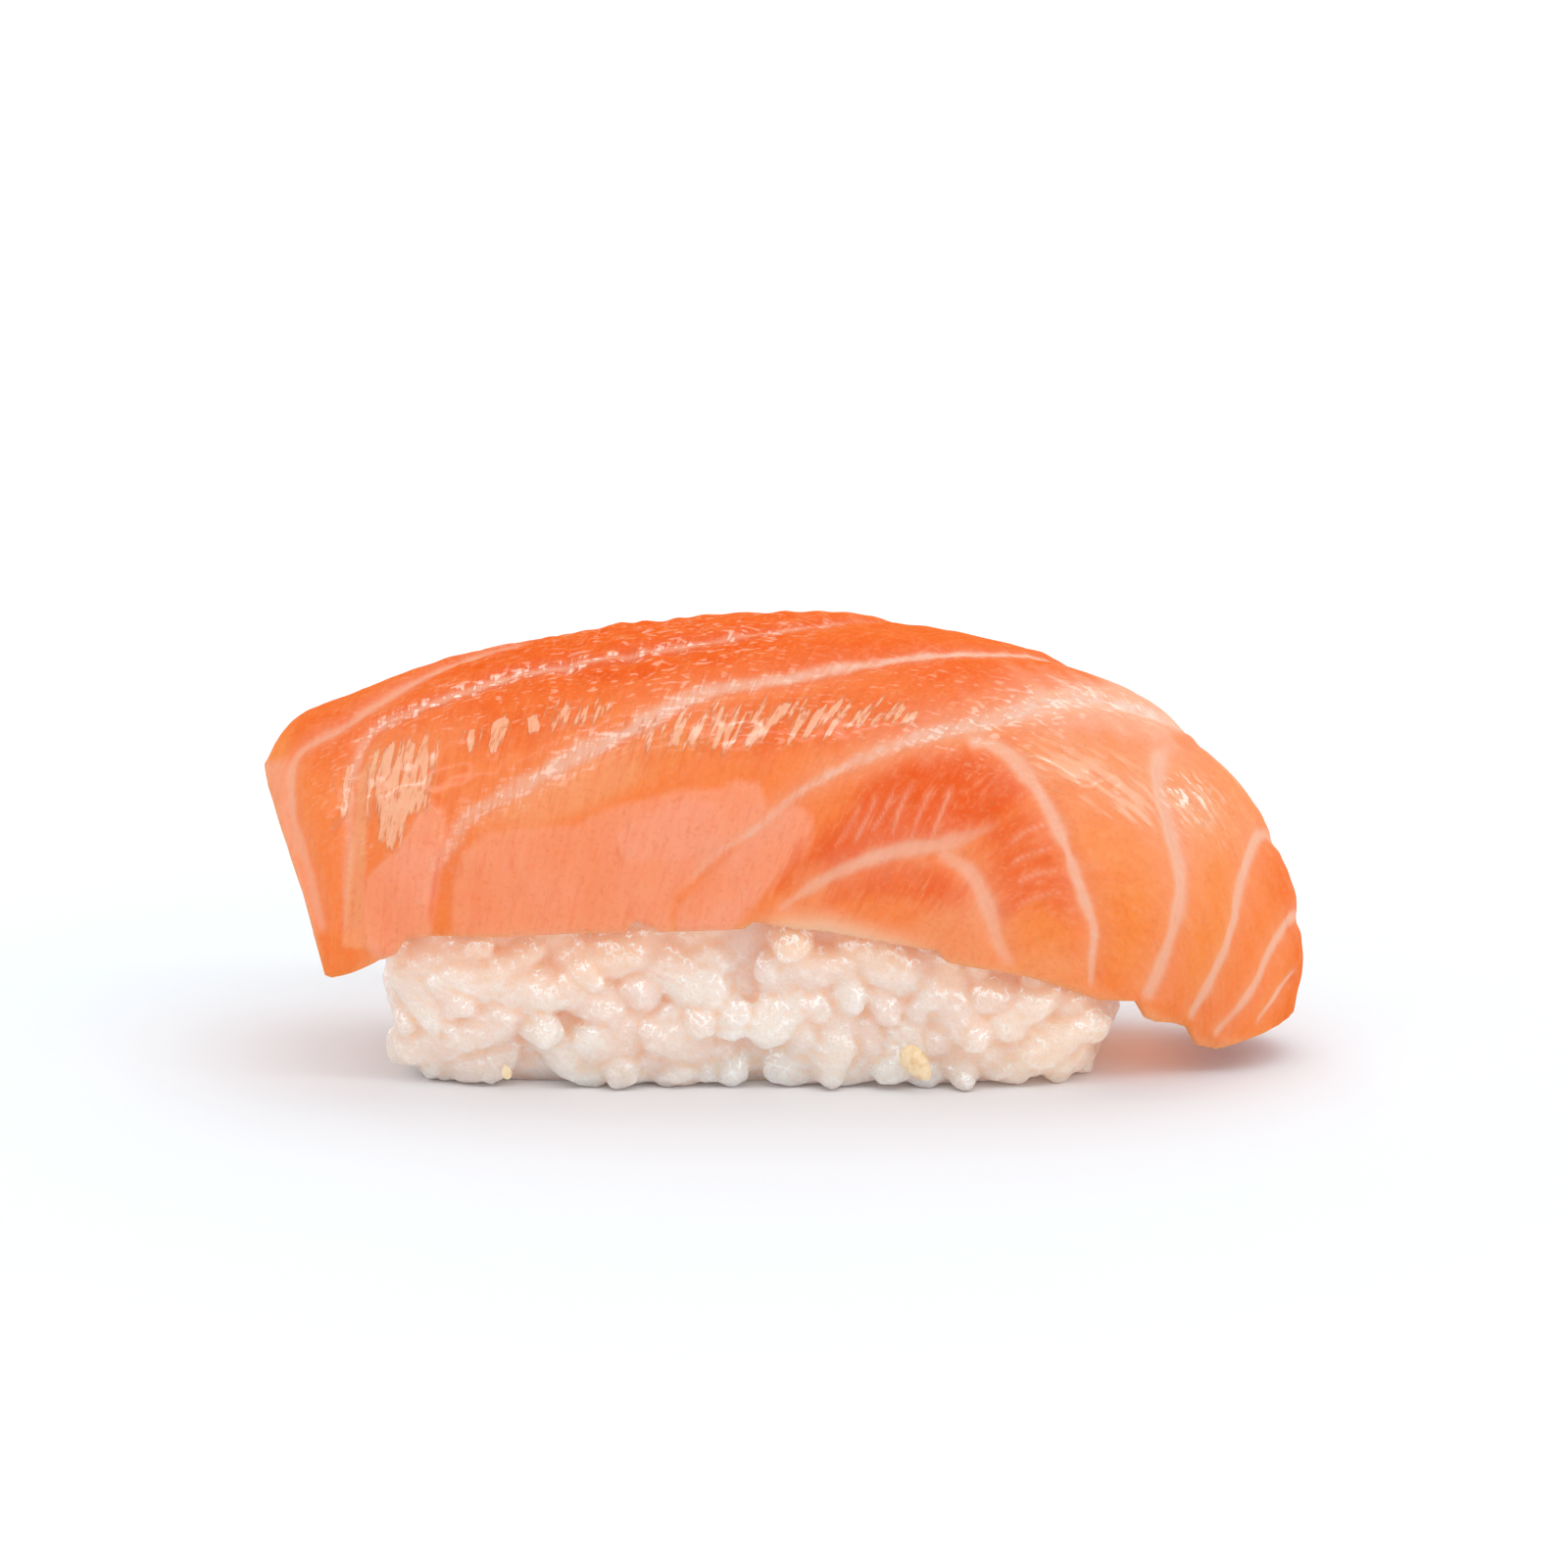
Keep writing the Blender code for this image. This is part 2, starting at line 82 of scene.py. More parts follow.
def through(knots: np.ndarray, values: np.ndarray, at: np.ndarray) -> np.ndarray:
    """Reads a smooth curve through values at uneven knots.

    Args:
        knots: The knots, rising.
        values: One row of values for each knot.
        at: Where to read the curve.

    Returns:
        One row of values for each place in at.
    """
    slopes = np.gradient(values, knots, axis=0)
    first = np.clip(np.searchsorted(knots, at) - 1, 0, len(knots) - 2)
    step = (knots[first + 1] - knots[first])[:, None]
    t = (at[:, None] - knots[first][:, None]) / step
    return (
        (2 * t**3 - 3 * t**2 + 1) * values[first]
        + (t**3 - 2 * t**2 + t) * step * slopes[first]
        + (3 * t**2 - 2 * t**3) * values[first + 1]
        + (t**3 - t**2) * step * slopes[first + 1]
    )


def walked(points: np.ndarray) -> np.ndarray:
    """The distance walked along a chain of points, at each point."""
    return np.concatenate([[0.0], np.cumsum(np.linalg.norm(np.diff(points, axis=0), axis=1))])


def bell(away: np.ndarray, reach: np.ndarray | float) -> np.ndarray:
    """A bell curve: 1 in the middle and near 0 at twice the reach."""
    return np.exp(-((away / reach) ** 2))


def raise_to(marks: dict, name: object, values: np.ndarray | float) -> None:
    """Raises one of the marks to the given values where they are higher."""
    marks[name] = np.maximum(marks[name], values)


def tube_faces(rings: int, sides: int, start: int = 0) -> list[tuple[int, ...]]:
    """The side faces of a tube made of rings of points, numbered from start.

    Args:
        rings: How many rings of points there are.
        sides: How many points each ring has.
        start: The number of the first point.

    Returns:
        The faces, ring by ring.
    """
    faces = []
    for ring in range(rings - 1):
        for side in range(sides):
            a = start + ring * sides + side
            b = start + ring * sides + (side + 1) % sides
            faces.append((a, b, b + sides, a + sides))
    return faces


@dataclass(frozen=True)
class Ripple:
    """Smooth uneven relief: a seeded sum of waves that run in all directions."""

    seed: int
    wavelength: float
    waves: int = 14

    def at(self, points: np.ndarray) -> np.ndarray:
        """Reads the relief.

        Args:
            points: Places, one a row, in metres.

        Returns:
            One value a place, mostly between -1 and 1.
        """
        draw = np.random.default_rng(self.seed)
        total = np.zeros(len(points))
        for _ in range(self.waves):
            way = draw.normal(size=3)
            way *= 2 * math.pi * draw.uniform(0.7, 1.5) / (self.wavelength * np.linalg.norm(way))
            total += np.sin(points @ way + draw.uniform(0.0, 2 * math.pi))
        return total / math.sqrt(self.waves)


class Shade:
    """A socket that shader maths can be written on as a Python expression."""

    def __init__(self, kit: "NodeKit", socket: bpy.types.NodeSocket) -> None:
        self.kit = kit
        self.socket = socket

    def maths(self, operation: str, first: "Operand", second: "Operand") -> "Shade":
        """Adds one Math node.

        Args:
            operation: The node's operation.
            first: Its first value.
            second: Its second value.

        Returns:
            The node's result.
        """
        return self.kit.make("ShaderNodeMath", {"operation": operation}, {0: first, 1: second})

    def __add__(self, other: "Operand") -> "Shade":
        """This plus other."""
        return self.maths("ADD", self, other)

    def __radd__(self, other: "Operand") -> "Shade":
        """Other plus this."""
        return self.maths("ADD", other, self)

    def __sub__(self, other: "Operand") -> "Shade":
        """This minus other."""
        return self.maths("SUBTRACT", self, other)

    def __rsub__(self, other: "Operand") -> "Shade":
        """Other minus this."""
        return self.maths("SUBTRACT", other, self)

    def __mul__(self, other: "Operand") -> "Shade":
        """This times other."""
        return self.maths("MULTIPLY", self, other)

    def __rmul__(self, other: "Operand") -> "Shade":
        """Other times this."""
        return self.maths("MULTIPLY", other, self)

    def away_from(self, middle: float) -> "Shade":
        """How far this lies from a middle value."""
        return self.maths("ABSOLUTE", self - middle, 0.0)

    def ramp(self, low: float, high: float) -> "Shade":
        """0 where this is below low, 1 above high and a smooth rise between them."""
        sockets = {"Value": self, "From Min": low, "From Max": high}
        return self.kit.make("ShaderNodeMapRange", {"interpolation_type": "SMOOTHSTEP"}, sockets)


Operand = Shade | float


class NodeKit:
    """Adds nodes to one material."""

    def __init__(self, name: str) -> None:
        """Makes an empty node material of the given name."""
        self.material = bpy.data.materials.new(name)
        self.material.use_nodes = True
        self.tree = self.material.node_tree
        self.tree.nodes.clear()

    def make(
        self,
        kind: str,
        settings: dict[str, object] | None = None,
        sockets: dict[str | int, object] | None = None,
        output: str | int = 0,
    ) -> Shade:
        """Adds one node.

        Args:
            kind: The node's type.
            settings: Its settings, which are set first.
            sockets: Values or links for its sockets, by name or number.
            output: Which of its outputs to return.

        Returns:
            The chosen output.
        """
        node = self.tree.nodes.new(kind)
        for name, value in (settings or {}).items():
            setattr(node, name, value)
        for key, value in (sockets or {}).items():
            if isinstance(value, Shade):
                self.tree.links.new(value.socket, node.inputs[key])
            else:
                node.inputs[key].default_value = value
        return Shade(self, node.outputs[output] if len(node.outputs) else None)

    def mix(self, share: Operand, first: Shade | Colour, second: Shade | Colour) -> Shade:
        """Mixes two colours: all first where share is 0 and all second where it is 1."""
        return self.make("ShaderNodeMix", {"data_type": "RGBA"}, {0: share, 6: first, 7: second}, 2)

    def tinted(self, colour: Shade | Colour, tints: tuple[tuple[Operand, Colour], ...]) -> Shade:
        """Lays tints over a colour, each by its share.

        Args:
            colour: The colour below.
            tints: Each tint's share and colour, from the lowest up.

        Returns:
            The tinted colour.
        """
        for share, tint in tints:
            colour = self.mix(share, colour, tint)
        return colour

    def attribute(self, name: str) -> Shade:
        """A number stored on the mesh's points."""
        return self.make("ShaderNodeAttribute", {"attribute_name": name}, None, "Fac")

    def place(self, name: str, scale: tuple[float, float, float]) -> Shade:
        """A vector stored on the mesh's points, scaled."""
        stored = self.make("ShaderNodeAttribute", {"attribute_name": name}, None, "Vector")
        return self.make("ShaderNodeVectorMath", {"operation": "MULTIPLY"}, {0: stored, 1: scale})

    def strands(
        self, name: str, across: float, along: float, detail: float = 2.0, rough: float = 0.5
    ) -> Shade:
        """Uneven values drawn out along a stored vector.

        Args:
            name: The vector's name.
            across: How quickly the values change along its first axis, for each mm.
            along: How quickly they change along its second axis.
            detail: The count of finer layers.
            rough: How strong each finer layer is beside the one before it.

        Returns:
            The values, between 0 and 1.
        """
        return self.noise(self.place(name, (across, along, 1.0)), 1.0, detail, rough)

    def noise(self, where: Shade, scale: float, detail: float = 2.0, rough: float = 0.5) -> Shade:
        """Uneven values between 0 and 1."""
        sockets = {"Vector": where, "Scale": scale, "Detail": detail, "Roughness": rough}
        return self.make("ShaderNodeTexNoise", None, sockets)

    def bump(self, height: Shade, depth: float, strength: float, under: Shade | None = None) -> Shade:
        """A normal roughened by a height.

        Args:
            height: The relief, about 0 to 1.
            depth: How far the relief rises from 0 to 1, in metres.
            strength: The share of it that shows.
            under: A normal that it adds to.

        Returns:
            The normal.
        """
        sockets: dict[str | int, object] = {"Height": height, "Distance": depth, "Strength": strength}
        if under is not None:
            sockets["Normal"] = under
        return self.make("ShaderNodeBump", None, sockets)

    def surface(self, sockets: dict[str | int, object]) -> bpy.types.Material:
        """Ends the material in one Principled shader with the given sockets.

        Args:
            sockets: Values or links for the shader's sockets, by name.

        Returns:
            The material.
        """
        shader = self.make("ShaderNodeBsdfPrincipled", None, sockets)
        self.make("ShaderNodeOutputMaterial", None, {"Surface": shader})
        return self.material


@dataclass(frozen=True)
class SalmonFinish:
    """Raw salmon: wet orange fibrous flesh, pale seams of fat, clear lobes, painted highlights and painted
    shade.
    """

    flesh: Colour = (0.91, 0.238, 0.062, 1.0)
    deep: Colour = (0.82, 0.112, 0.015, 1.0)
    pink: Colour = (0.93, 0.350, 0.205, 1.0)
    pale: Colour = (0.90, 0.365, 0.170, 1.0)
    gold: Colour = (0.91, 0.272, 0.055, 1.0)
    fat: Colour = (0.88, 0.46, 0.31, 1.0)
    white_fat: Colour = (0.85, 0.66, 0.57, 1.0)
    # Painted highlight colour of the glare and the sheen.
    glare: Colour = (0.92, 0.48, 0.29, 1.0)
    clear: Colour = (0.90, 0.50, 0.32, 1.0)
    # Painted highlight colour of the glints and the glitter, which also glow a little.
    glint: Colour = (1.0, 0.80, 0.70, 1.0)
    shadow: Colour = (0.70, 0.16, 0.035, 1.0)
    unlit: Colour = (0.0, 0.0, 0.0, 1.0)
    scatter: float = 0.45
    scatter_radius: tuple[float, float, float] = (1.0, 0.32, 0.16)
    scatter_depth: float = 2.8 * MM
    coat_roughness: float = 0.13
    coat_ior: float = 1.6
    glint_strength: float = 0.35

    def build(self) -> bpy.types.Material:
        """The node material."""
        kit = NodeKit("raw_salmon")
        where = kit.make("ShaderNodeTexCoord", None, None, "Object")
        cloud = kit.noise(where, 260.0, 3.0)
        mottle = kit.noise(where, 1000.0, 2.0)
        speck = kit.noise(where, 3000.0, 1.0)
        comb = kit.strands("fibre", 1.25, 0.17)
        stroke = kit.strands("fibre", 2.2, 0.30)
        fine = kit.strands("fibre", 2.9, 0.55, 2.0, 0.6)
        dash = kit.strands("fibre", 3.4, 1.15, 1.0)
        lick = kit.strands("crest", 2.6, 0.75)
        gloss = kit.strands("crest", 2.1, 0.26)
        hair = kit.strands("crest", 3.3, 1.05, 1.0)
        streak = kit.attribute("streak")
        rough = kit.attribute("rough")
        lively = 0.35 + 1.3 * cloud
        ragged = kit.attribute("seam") + ((fine - 0.5) * 1.1 + (speck - 0.5) * 0.7) * rough
        white = ragged.ramp(0.45, 1.0) * (mottle * 0.6 + fine * 0.6).ramp(0.42, 0.80)
        # Masks of the painted highlights: glare, sheen, glitter and glints.
        glare = kit.attribute("glare") + (stroke - 0.5) * 2.4 + (fine - 0.5) * 0.6
        sheen = kit.attribute("sheen") + (gloss - 0.5) * 1.8 + (hair - 0.5) * 0.3
        glare = glare.ramp(0.46, 0.74) * kit.attribute("glare").ramp(0.0, 0.2)
        sheen = sheen.ramp(0.30, 0.95) * kit.attribute("sheen").ramp(0.0, 0.2)
        glitter = hair.ramp(0.60, 0.68) * kit.attribute("glitter")
        glint = (hair * 0.6 + fine * 0.5).ramp(0.58, 0.66) * kit.attribute("glint")
        flesh = kit.tinted(self.flesh, (
            (kit.attribute("deep") * (0.65 + 0.8 * cloud), self.deep),
            (kit.attribute("gold") * lively, self.gold),
            (kit.attribute("pale") * lively, self.pale),
            (kit.attribute("pink") * lively, self.pink),
            (comb.ramp(0.42, 0.72) * (0.12 + 0.45 * streak), self.deep),
            (mottle.ramp(0.50, 0.80) * 0.18, self.pale),
            (fine.ramp(0.48, 0.80) * (0.22 + 0.18 * streak), self.pale),
            ((1.0 - fine).ramp(0.54, 0.78) * (0.22 + 0.32 * streak), self.shadow),
            ((1.0 - speck).ramp(0.54, 0.78) * 0.24, self.shadow),
            (speck.ramp(0.54, 0.78) * 0.22, self.pale),
        ))
        seamed = kit.tinted(flesh, (
            (kit.attribute("glow") * 0.8, self.fat),
            (ragged.ramp(0.10, 0.95) * kit.attribute("fat"), self.fat),
            (white * kit.attribute("white"), self.white_fat),
        ))
        # Painted highlights of glare, sheen and glitter, with painted shadow in flecks and outlines round
        # them, painted shade in the creases, the clear film at the hem and the painted glints.
        colour = kit.tinted(seamed, (
            (glare * 0.85, self.glare),
            (glare * dash.ramp(0.58, 0.66) * 0.50, self.shadow),
            (glare * (1.0 - fine).ramp(0.50, 0.70) * 0.30, self.flesh),
            (glare * (1.0 - glare) * 2.2, self.shadow),
            (sheen * 0.80, self.glare),
            (sheen * gloss.away_from(0.47).ramp(0.035, 0.0) * 0.55, self.shadow),
            (glitter * 0.45, self.glare),
            (kit.attribute("crease"), self.deep),
            (kit.attribute("clear") * (0.75 + 0.4 * cloud), self.clear),
            (glint * 0.9, self.glint),
        ))
        normal = None
        for height, depth, strength in (
            (comb, 0.28, 0.8),
            (lick, 0.18, 0.6),
            (fine, 0.09, 0.8),
            (glare + sheen + glint, 0.07, 0.6),
            (speck * (0.3 + rough), 0.10, 0.7),
        ):
            normal = kit.bump(height, depth * MM, strength, normal)
        return kit.surface(
            {
                "Base Color": colour,
                "Roughness": 0.45 + 0.12 * mottle,
                "Specular IOR Level": 0.0,
                "Subsurface Weight": self.scatter,
                "Subsurface Radius": self.scatter_radius,
                "Subsurface Scale": self.scatter_depth,
                "Coat Weight": kit.attribute("wet") + (glare + sheen) * 0.5 + glitter * 0.5 + glint * 0.5,
                "Coat Roughness": self.coat_roughness,
                "Coat IOR": self.coat_ior,
                # The painted glints and glitter glow a little.
                "Emission Color": kit.mix(glint * 0.6 + glitter * 0.10, self.unlit, self.glint),
                "Emission Strength": self.glint_strength,
                "Normal": normal,
            }
        )


@dataclass(frozen=True)
class RiceFinish:
    """Cooked rice: milky, moist grains, with painted crease shade, painted light from the fish, painted
    highlights and glow.
    """

    milky: Colour = (0.95, 0.78, 0.69, 1.0)
    clear: Colour = (0.93, 0.69, 0.59, 1.0)
    dull: Colour = (0.76, 0.55, 0.43, 1.0)
    # Painted shade colour of the creases.
    crease: Colour = (0.87, 0.60, 0.43, 1.0)
    # Painted orange light from the fish, on the rice near it.
    fish_light_colour: Colour = (0.95, 0.55, 0.35, 1.0)
    # Painted highlight colour of the wet squiggles, which also glow.
    shine: Colour = (1.0, 0.93, 0.89, 1.0)
    # A faint painted glow over all the rice.
    painted_glow: Colour = (0.13, 0.10, 0.085, 1.0)
    scatter: float = 0.95
    scatter_radius: tuple[float, float, float] = (1.0, 0.74, 0.58)
    scatter_depth: float = 7.0 * MM
    coat_roughness: float = 0.09
    coat_ior: float = 1.6
    shine_strength: float = 0.30
    grain_relief: float = 0.40 * MM
    fine_relief: float = 0.20 * MM
    relief_strength: float = 0.7

    def build(self) -> bpy.types.Material:
        """The node material."""
        kit = NodeKit("cooked_rice")
        where = kit.make("ShaderNodeTexCoord", None, None, "Object")
        cloud = kit.noise(where, 380.0, 3.0)
        grain = kit.noise(where, 1100.0, 3.0, 0.6)
        fine = kit.noise(where, 3600.0, 2.0, 0.6)
        tone = kit.attribute("tone")
        base = kit.mix((tone * 0.7 + cloud * 0.6).ramp(0.35, 0.95), self.milky, self.clear)
        # Painted highlights: thin bright squiggles on the ridges.
        squiggle = 1.0 - (grain.away_from(0.5) * 17.0).ramp(0.0, 1.0)
        shine = squiggle * kit.attribute("ridge") * (fine * 0.6 + cloud * 0.8).ramp(0.54, 0.68)
        colour = kit.tinted(base, (
            (kit.attribute("warmth") * (0.7 + 0.5 * cloud), self.fish_light_colour),
            (kit.attribute("crease") * 0.50, self.crease),
            ((1.0 - fine).ramp(0.50, 0.76) * 0.36, self.dull),
            (shine * 0.9, self.shine),
        ))
        # Painted glow: faint over all, stronger near the fish and in the creases.
        lit = kit.tinted(self.painted_glow, (
            (kit.attribute("warmth") * 0.5, self.fish_light_colour),
            (kit.attribute("crease") * 0.20, self.crease),
        ))
        normal = kit.bump(grain, self.grain_relief, self.relief_strength)
        normal = kit.bump(fine, self.fine_relief, self.relief_strength, normal)
        return kit.surface(
            {
                "Base Color": colour,
                "Roughness": 0.34 + 0.25 * cloud,
                "Specular IOR Level": 0.35,
                "Subsurface Weight": self.scatter,
                "Subsurface Radius": self.scatter_radius,
                "Subsurface Scale": self.scatter_depth,
                "Coat Weight": 0.3 + 0.7 * kit.attribute("ridge"),
                "Coat Roughness": self.coat_roughness,
                "Coat IOR": self.coat_ior,
                # The painted highlights and the painted glow.
                "Emission Color": kit.mix(shine, lit, self.shine),
                "Emission Strength": self.shine_strength,
                "Normal": normal,
            }
        )


@dataclass(frozen=True)
class SeedFinish:
    """A hulled sesame seed or a scrap of bran: dry, pale yellow and faintly mottled."""

    light: Colour = (0.93, 0.74, 0.49, 1.0)
    dark: Colour = (0.80, 0.55, 0.28, 1.0)
    scatter: float = 0.2
    scatter_radius: tuple[float, float, float] = (1.0, 0.6, 0.3)
    scatter_depth: float = 0.8 * MM
    relief: float = 0.08 * MM
    relief_strength: float = 0.7

    def build(self) -> bpy.types.Material:
        """The node material."""
        kit = NodeKit("pale_seed")
        where = kit.make("ShaderNodeTexCoord", None, None, "Object")
        mottle = kit.noise(where, 1800.0, 3.0)
        return kit.surface(
            {
                "Base Color": kit.mix(mottle.ramp(0.4, 0.75), self.light, self.dark),
                "Roughness": 0.42 + 0.15 * mottle,
                "Subsurface Weight": self.scatter,
                "Subsurface Radius": self.scatter_radius,
                "Subsurface Scale": self.scatter_depth,
                "Normal": kit.bump(mottle, self.relief, self.relief_strength),
            }
        )


@dataclass(frozen=True)
class FloorFinish:
    """A matt white table top, with painted shadow near the food and painted light from the fish under the
    tip.
    """

    # Painted shadow colour: darker and cooler near the food.
    near: Colour = (0.875, 0.93, 0.975, 1.0)
    white: Colour = (1.0, 1.0, 1.0, 1.0)
    # Painted orange light from the fish, glowing on the table under the tip.
    fish_light_colour: Colour = (0.95, 0.36, 0.15, 1.0)
    unlit: Colour = (0.0, 0.0, 0.0, 1.0)
    under_tip: tuple[float, float, float] = (0.0255, 0.0, 0.0)
    fish_light_reach: tuple[float, float, float] = (0.0065, 0.014, 1.0)
    painted_shadow_reach: float = 0.05
    white_from: float = 0.16
    roughness: float = 0.85
    glow_strength: float = 0.24
    relief: float = 0.02 * MM
    relief_strength: float = 0.3

    def build(self) -> bpy.types.Material:
        """The node material."""
        kit = NodeKit("white_table")
        where = kit.make("ShaderNodeTexCoord", None, None, "Object")
        away = kit.make("ShaderNodeVectorMath", {"operation": "LENGTH"}, {0: where}, "Value")
        # Painted shadow: darker and cooler near the food, white further out.
        colour = kit.mix(away.ramp(self.painted_shadow_reach, self.white_from), self.near, self.white)
        # Painted orange glow of light from the fish, on the table under the tip.
        shift = kit.make("ShaderNodeVectorMath", {"operation": "SUBTRACT"}, {0: where, 1: self.under_tip})
        narrow = kit.make("ShaderNodeVectorMath", {"operation": "DIVIDE"}, {0: shift, 1: self.fish_light_reach})
        near_tip = kit.make("ShaderNodeVectorMath", {"operation": "LENGTH"}, {0: narrow}, "Value")
        return kit.surface(
            {
                "Base Color": colour,
                "Roughness": self.roughness,
                "Normal": kit.bump(kit.noise(where, 700.0), self.relief, self.relief_strength),
                "Emission Color": kit.mix(near_tip.ramp(0.0, 1.0), self.fish_light_colour, self.unlit),
                "Emission Strength": self.glow_strength,
            }
        )


def make_piece(
    name: str,
    points: np.ndarray,
    faces: list[tuple[int, ...]],
    material: bpy.types.Material,
) -> bpy.types.Object:
    """Makes one smooth-shaded piece.

    Args:
        name: The piece's name.
        points: Its points, in metres.
        faces: Its faces, as numbers of points.
        material: Its finish.

    Returns:
        The piece, linked to the scene.
    """
    mesh = bpy.data.meshes.new(name)
    mesh.from_pydata(points.tolist(), [], faces)
    mesh.update()
    mesh.materials.append(material)
    mesh.shade_smooth()
    piece = bpy.data.objects.new(name, mesh)
    bpy.context.scene.collection.objects.link(piece)
    return piece


def store(piece: bpy.types.Object, name: str, values: np.ndarray) -> None:
    """Stores a number or a vector on each point of a piece.

    Args:
        piece: The piece.
        name: The name that its material reads.
        values: One number or one row of three a point.
    """
    kind = "FLOAT" if values.ndim == 1 else "FLOAT_VECTOR"
    key = "value" if values.ndim == 1 else "vector"
    stored = piece.data.attributes.new(name, kind, "POINT")
    stored.data.foreach_set(key, values.astype(np.float32).ravel())


def points_of(piece: bpy.types.Object) -> np.ndarray:
    """A piece's points, one a row.

    Args:
        piece: The piece.

    Returns:
        The points, in metres.
    """
    flat = np.empty(len(piece.data.vertices) * 3, dtype=np.float32)
    piece.data.vertices.foreach_get("co", flat)
    return flat.reshape(-1, 3).astype(float)


def normals_of(piece: bpy.types.Object) -> np.ndarray:
    """A piece's normals, one a point.

    Args:
        piece: The piece.

    Returns:
        The normals, one a row.
    """
    flat = np.empty(len(piece.data.vertices) * 3, dtype=np.float32)
    piece.data.vertices.foreach_get("normal", flat)
    return flat.reshape(-1, 3).astype(float)


def sum_around(edges: np.ndarray, values: np.ndarray) -> np.ndarray:
    """Each point's sum of the values at the far ends of its edges."""
    total = np.bincount(edges[:, 0], values[edges[:, 1]], len(values))
    return total + np.bincount(edges[:, 1], values[edges[:, 0]], len(values))


def move_points(piece: bpy.types.Object, points: np.ndarray) -> None:
    """Sets a piece's points."""
    piece.data.vertices.foreach_set("co", points.astype(np.float32).ravel())
    piece.data.update()


class Tone(Enum):
    """What the flesh shows beside its plain orange, by the name that the finish reads."""

    # Deeper red flesh; on the crown, along the crest and at the right end it is painted shade.
    DEEP = "deep"
    GOLD = "gold"
    PINK = "pink"
    PALE = "pale"
    STREAK = "streak"
    ROUGH = "rough"
    # Glare, sheen, glitter and glint are painted highlights; wet is the coat's real gloss.
    GLARE = "glare"
    SHEEN = "sheen"
    GLITTER = "glitter"
    WET = "wet"
    GLINT = "glint"


@dataclass(frozen=True)
class Zone:
    """A soft oval patch of one tone, as seen from the front, in mm."""

    tone: Tone
    x: float
    z: float
    across: float
    up: float
    tilt: float = 0.0
    strength: float = 1.0
    fade: Place = (0.45, 1.25)

    def at(self, points: np.ndarray) -> np.ndarray:
        """The patch's strength at each point.

        Args:
            points: Places, one a row, in metres.

        Returns:
            One strength a point.
        """
        away = points[:, [0, 2]] / MM - np.array([self.x, self.z])
        turn = math.radians(self.tilt)
        right = away @ np.array([math.cos(turn), math.sin(turn)]) / self.across
        up = away @ np.array([-math.sin(turn), math.cos(turn)]) / self.up
        return self.strength * (1.0 - smooth_step(*self.fade, np.hypot(right, up)))


@dataclass(frozen=True)
class Patch:
    """A patch of one tone inside an outline in the front view, in mm, on the front or on the back."""

    tone: Tone
    outline: tuple[Place, ...]
    soft: float = 0.4
    strength: float = 1.0
    swell: float = 0.0
    back: bool = False
    side_fade: Place = (-6.0, -1.0)

    def at(self, points: np.ndarray) -> np.ndarray:
        """How far each point lies inside the outline.

        Args:
            points: Places, one a row, in metres.

        Returns:
            One value a point: 1 inside the outline and 0 outside it.
        """
        corners = np.array(self.outline)
        place = points[:, [0, 2]] / MM
        low = corners.min(axis=0) - self.soft
        high = corners.max(axis=0) + self.soft
        side = points[:, 1] / MM if self.back else -points[:, 1] / MM
        near = np.flatnonzero(((place > low) & (place < high)).all(axis=1) & (side > self.side_fade[0]))
        place = place[near]
        gap = np.full(len(near), FAR)
        inside = np.zeros(len(near), dtype=bool)
        for start, end in zip(corners, np.roll(corners, -1, axis=0)):
            way = end - start
            share = np.clip((place - start) @ way / (way @ way), 0.0, 1.0)
            gap = np.minimum(gap, np.linalg.norm(place - start - share[:, None] * way, axis=1))
            spans = (place[:, 1] < start[1]) != (place[:, 1] < end[1])
            crossing = start[0] + (place[:, 1] - start[1]) * way[0] / (way[1] + TINY)
            inside ^= spans & (place[:, 0] < crossing)
        values = np.zeros(len(points))
        values[near] = smooth_step(-self.soft, self.soft, np.where(inside, gap, -gap))
        values[near] *= smooth_step(*self.side_fade, side[near])
        return values


@dataclass(frozen=True)
class Seam:
    """A seam of fat between two flakes.

    Its route is given by x and height in mm on the front side, from the hem up, and on the back side
    where it runs on over the crest. Half widths in mm and paleness are spread evenly along it.
    """

    front: tuple[Place, ...]
    back: tuple[Place, ...] = ()
    half_widths: tuple[float, ...] = (0.5,)
    paleness: tuple[float, ...] = (0.6,)
    step: float = 0.0
    rough: float = 0.3
    white: float = 0.2
    glow: float = 0.3
    glints: tuple[float, ...] = (0.0,)
    # A seam with darkness is a crease, drawn as painted shade instead of fat.
    dark: float = 0.0

    def spread(self, values: tuple[float, ...], count: int) -> np.ndarray:
        """Values spread evenly over a count of points."""
        return np.interp(np.linspace(0.0, 1.0, count), np.linspace(0.0, 1.0, len(values)), values)


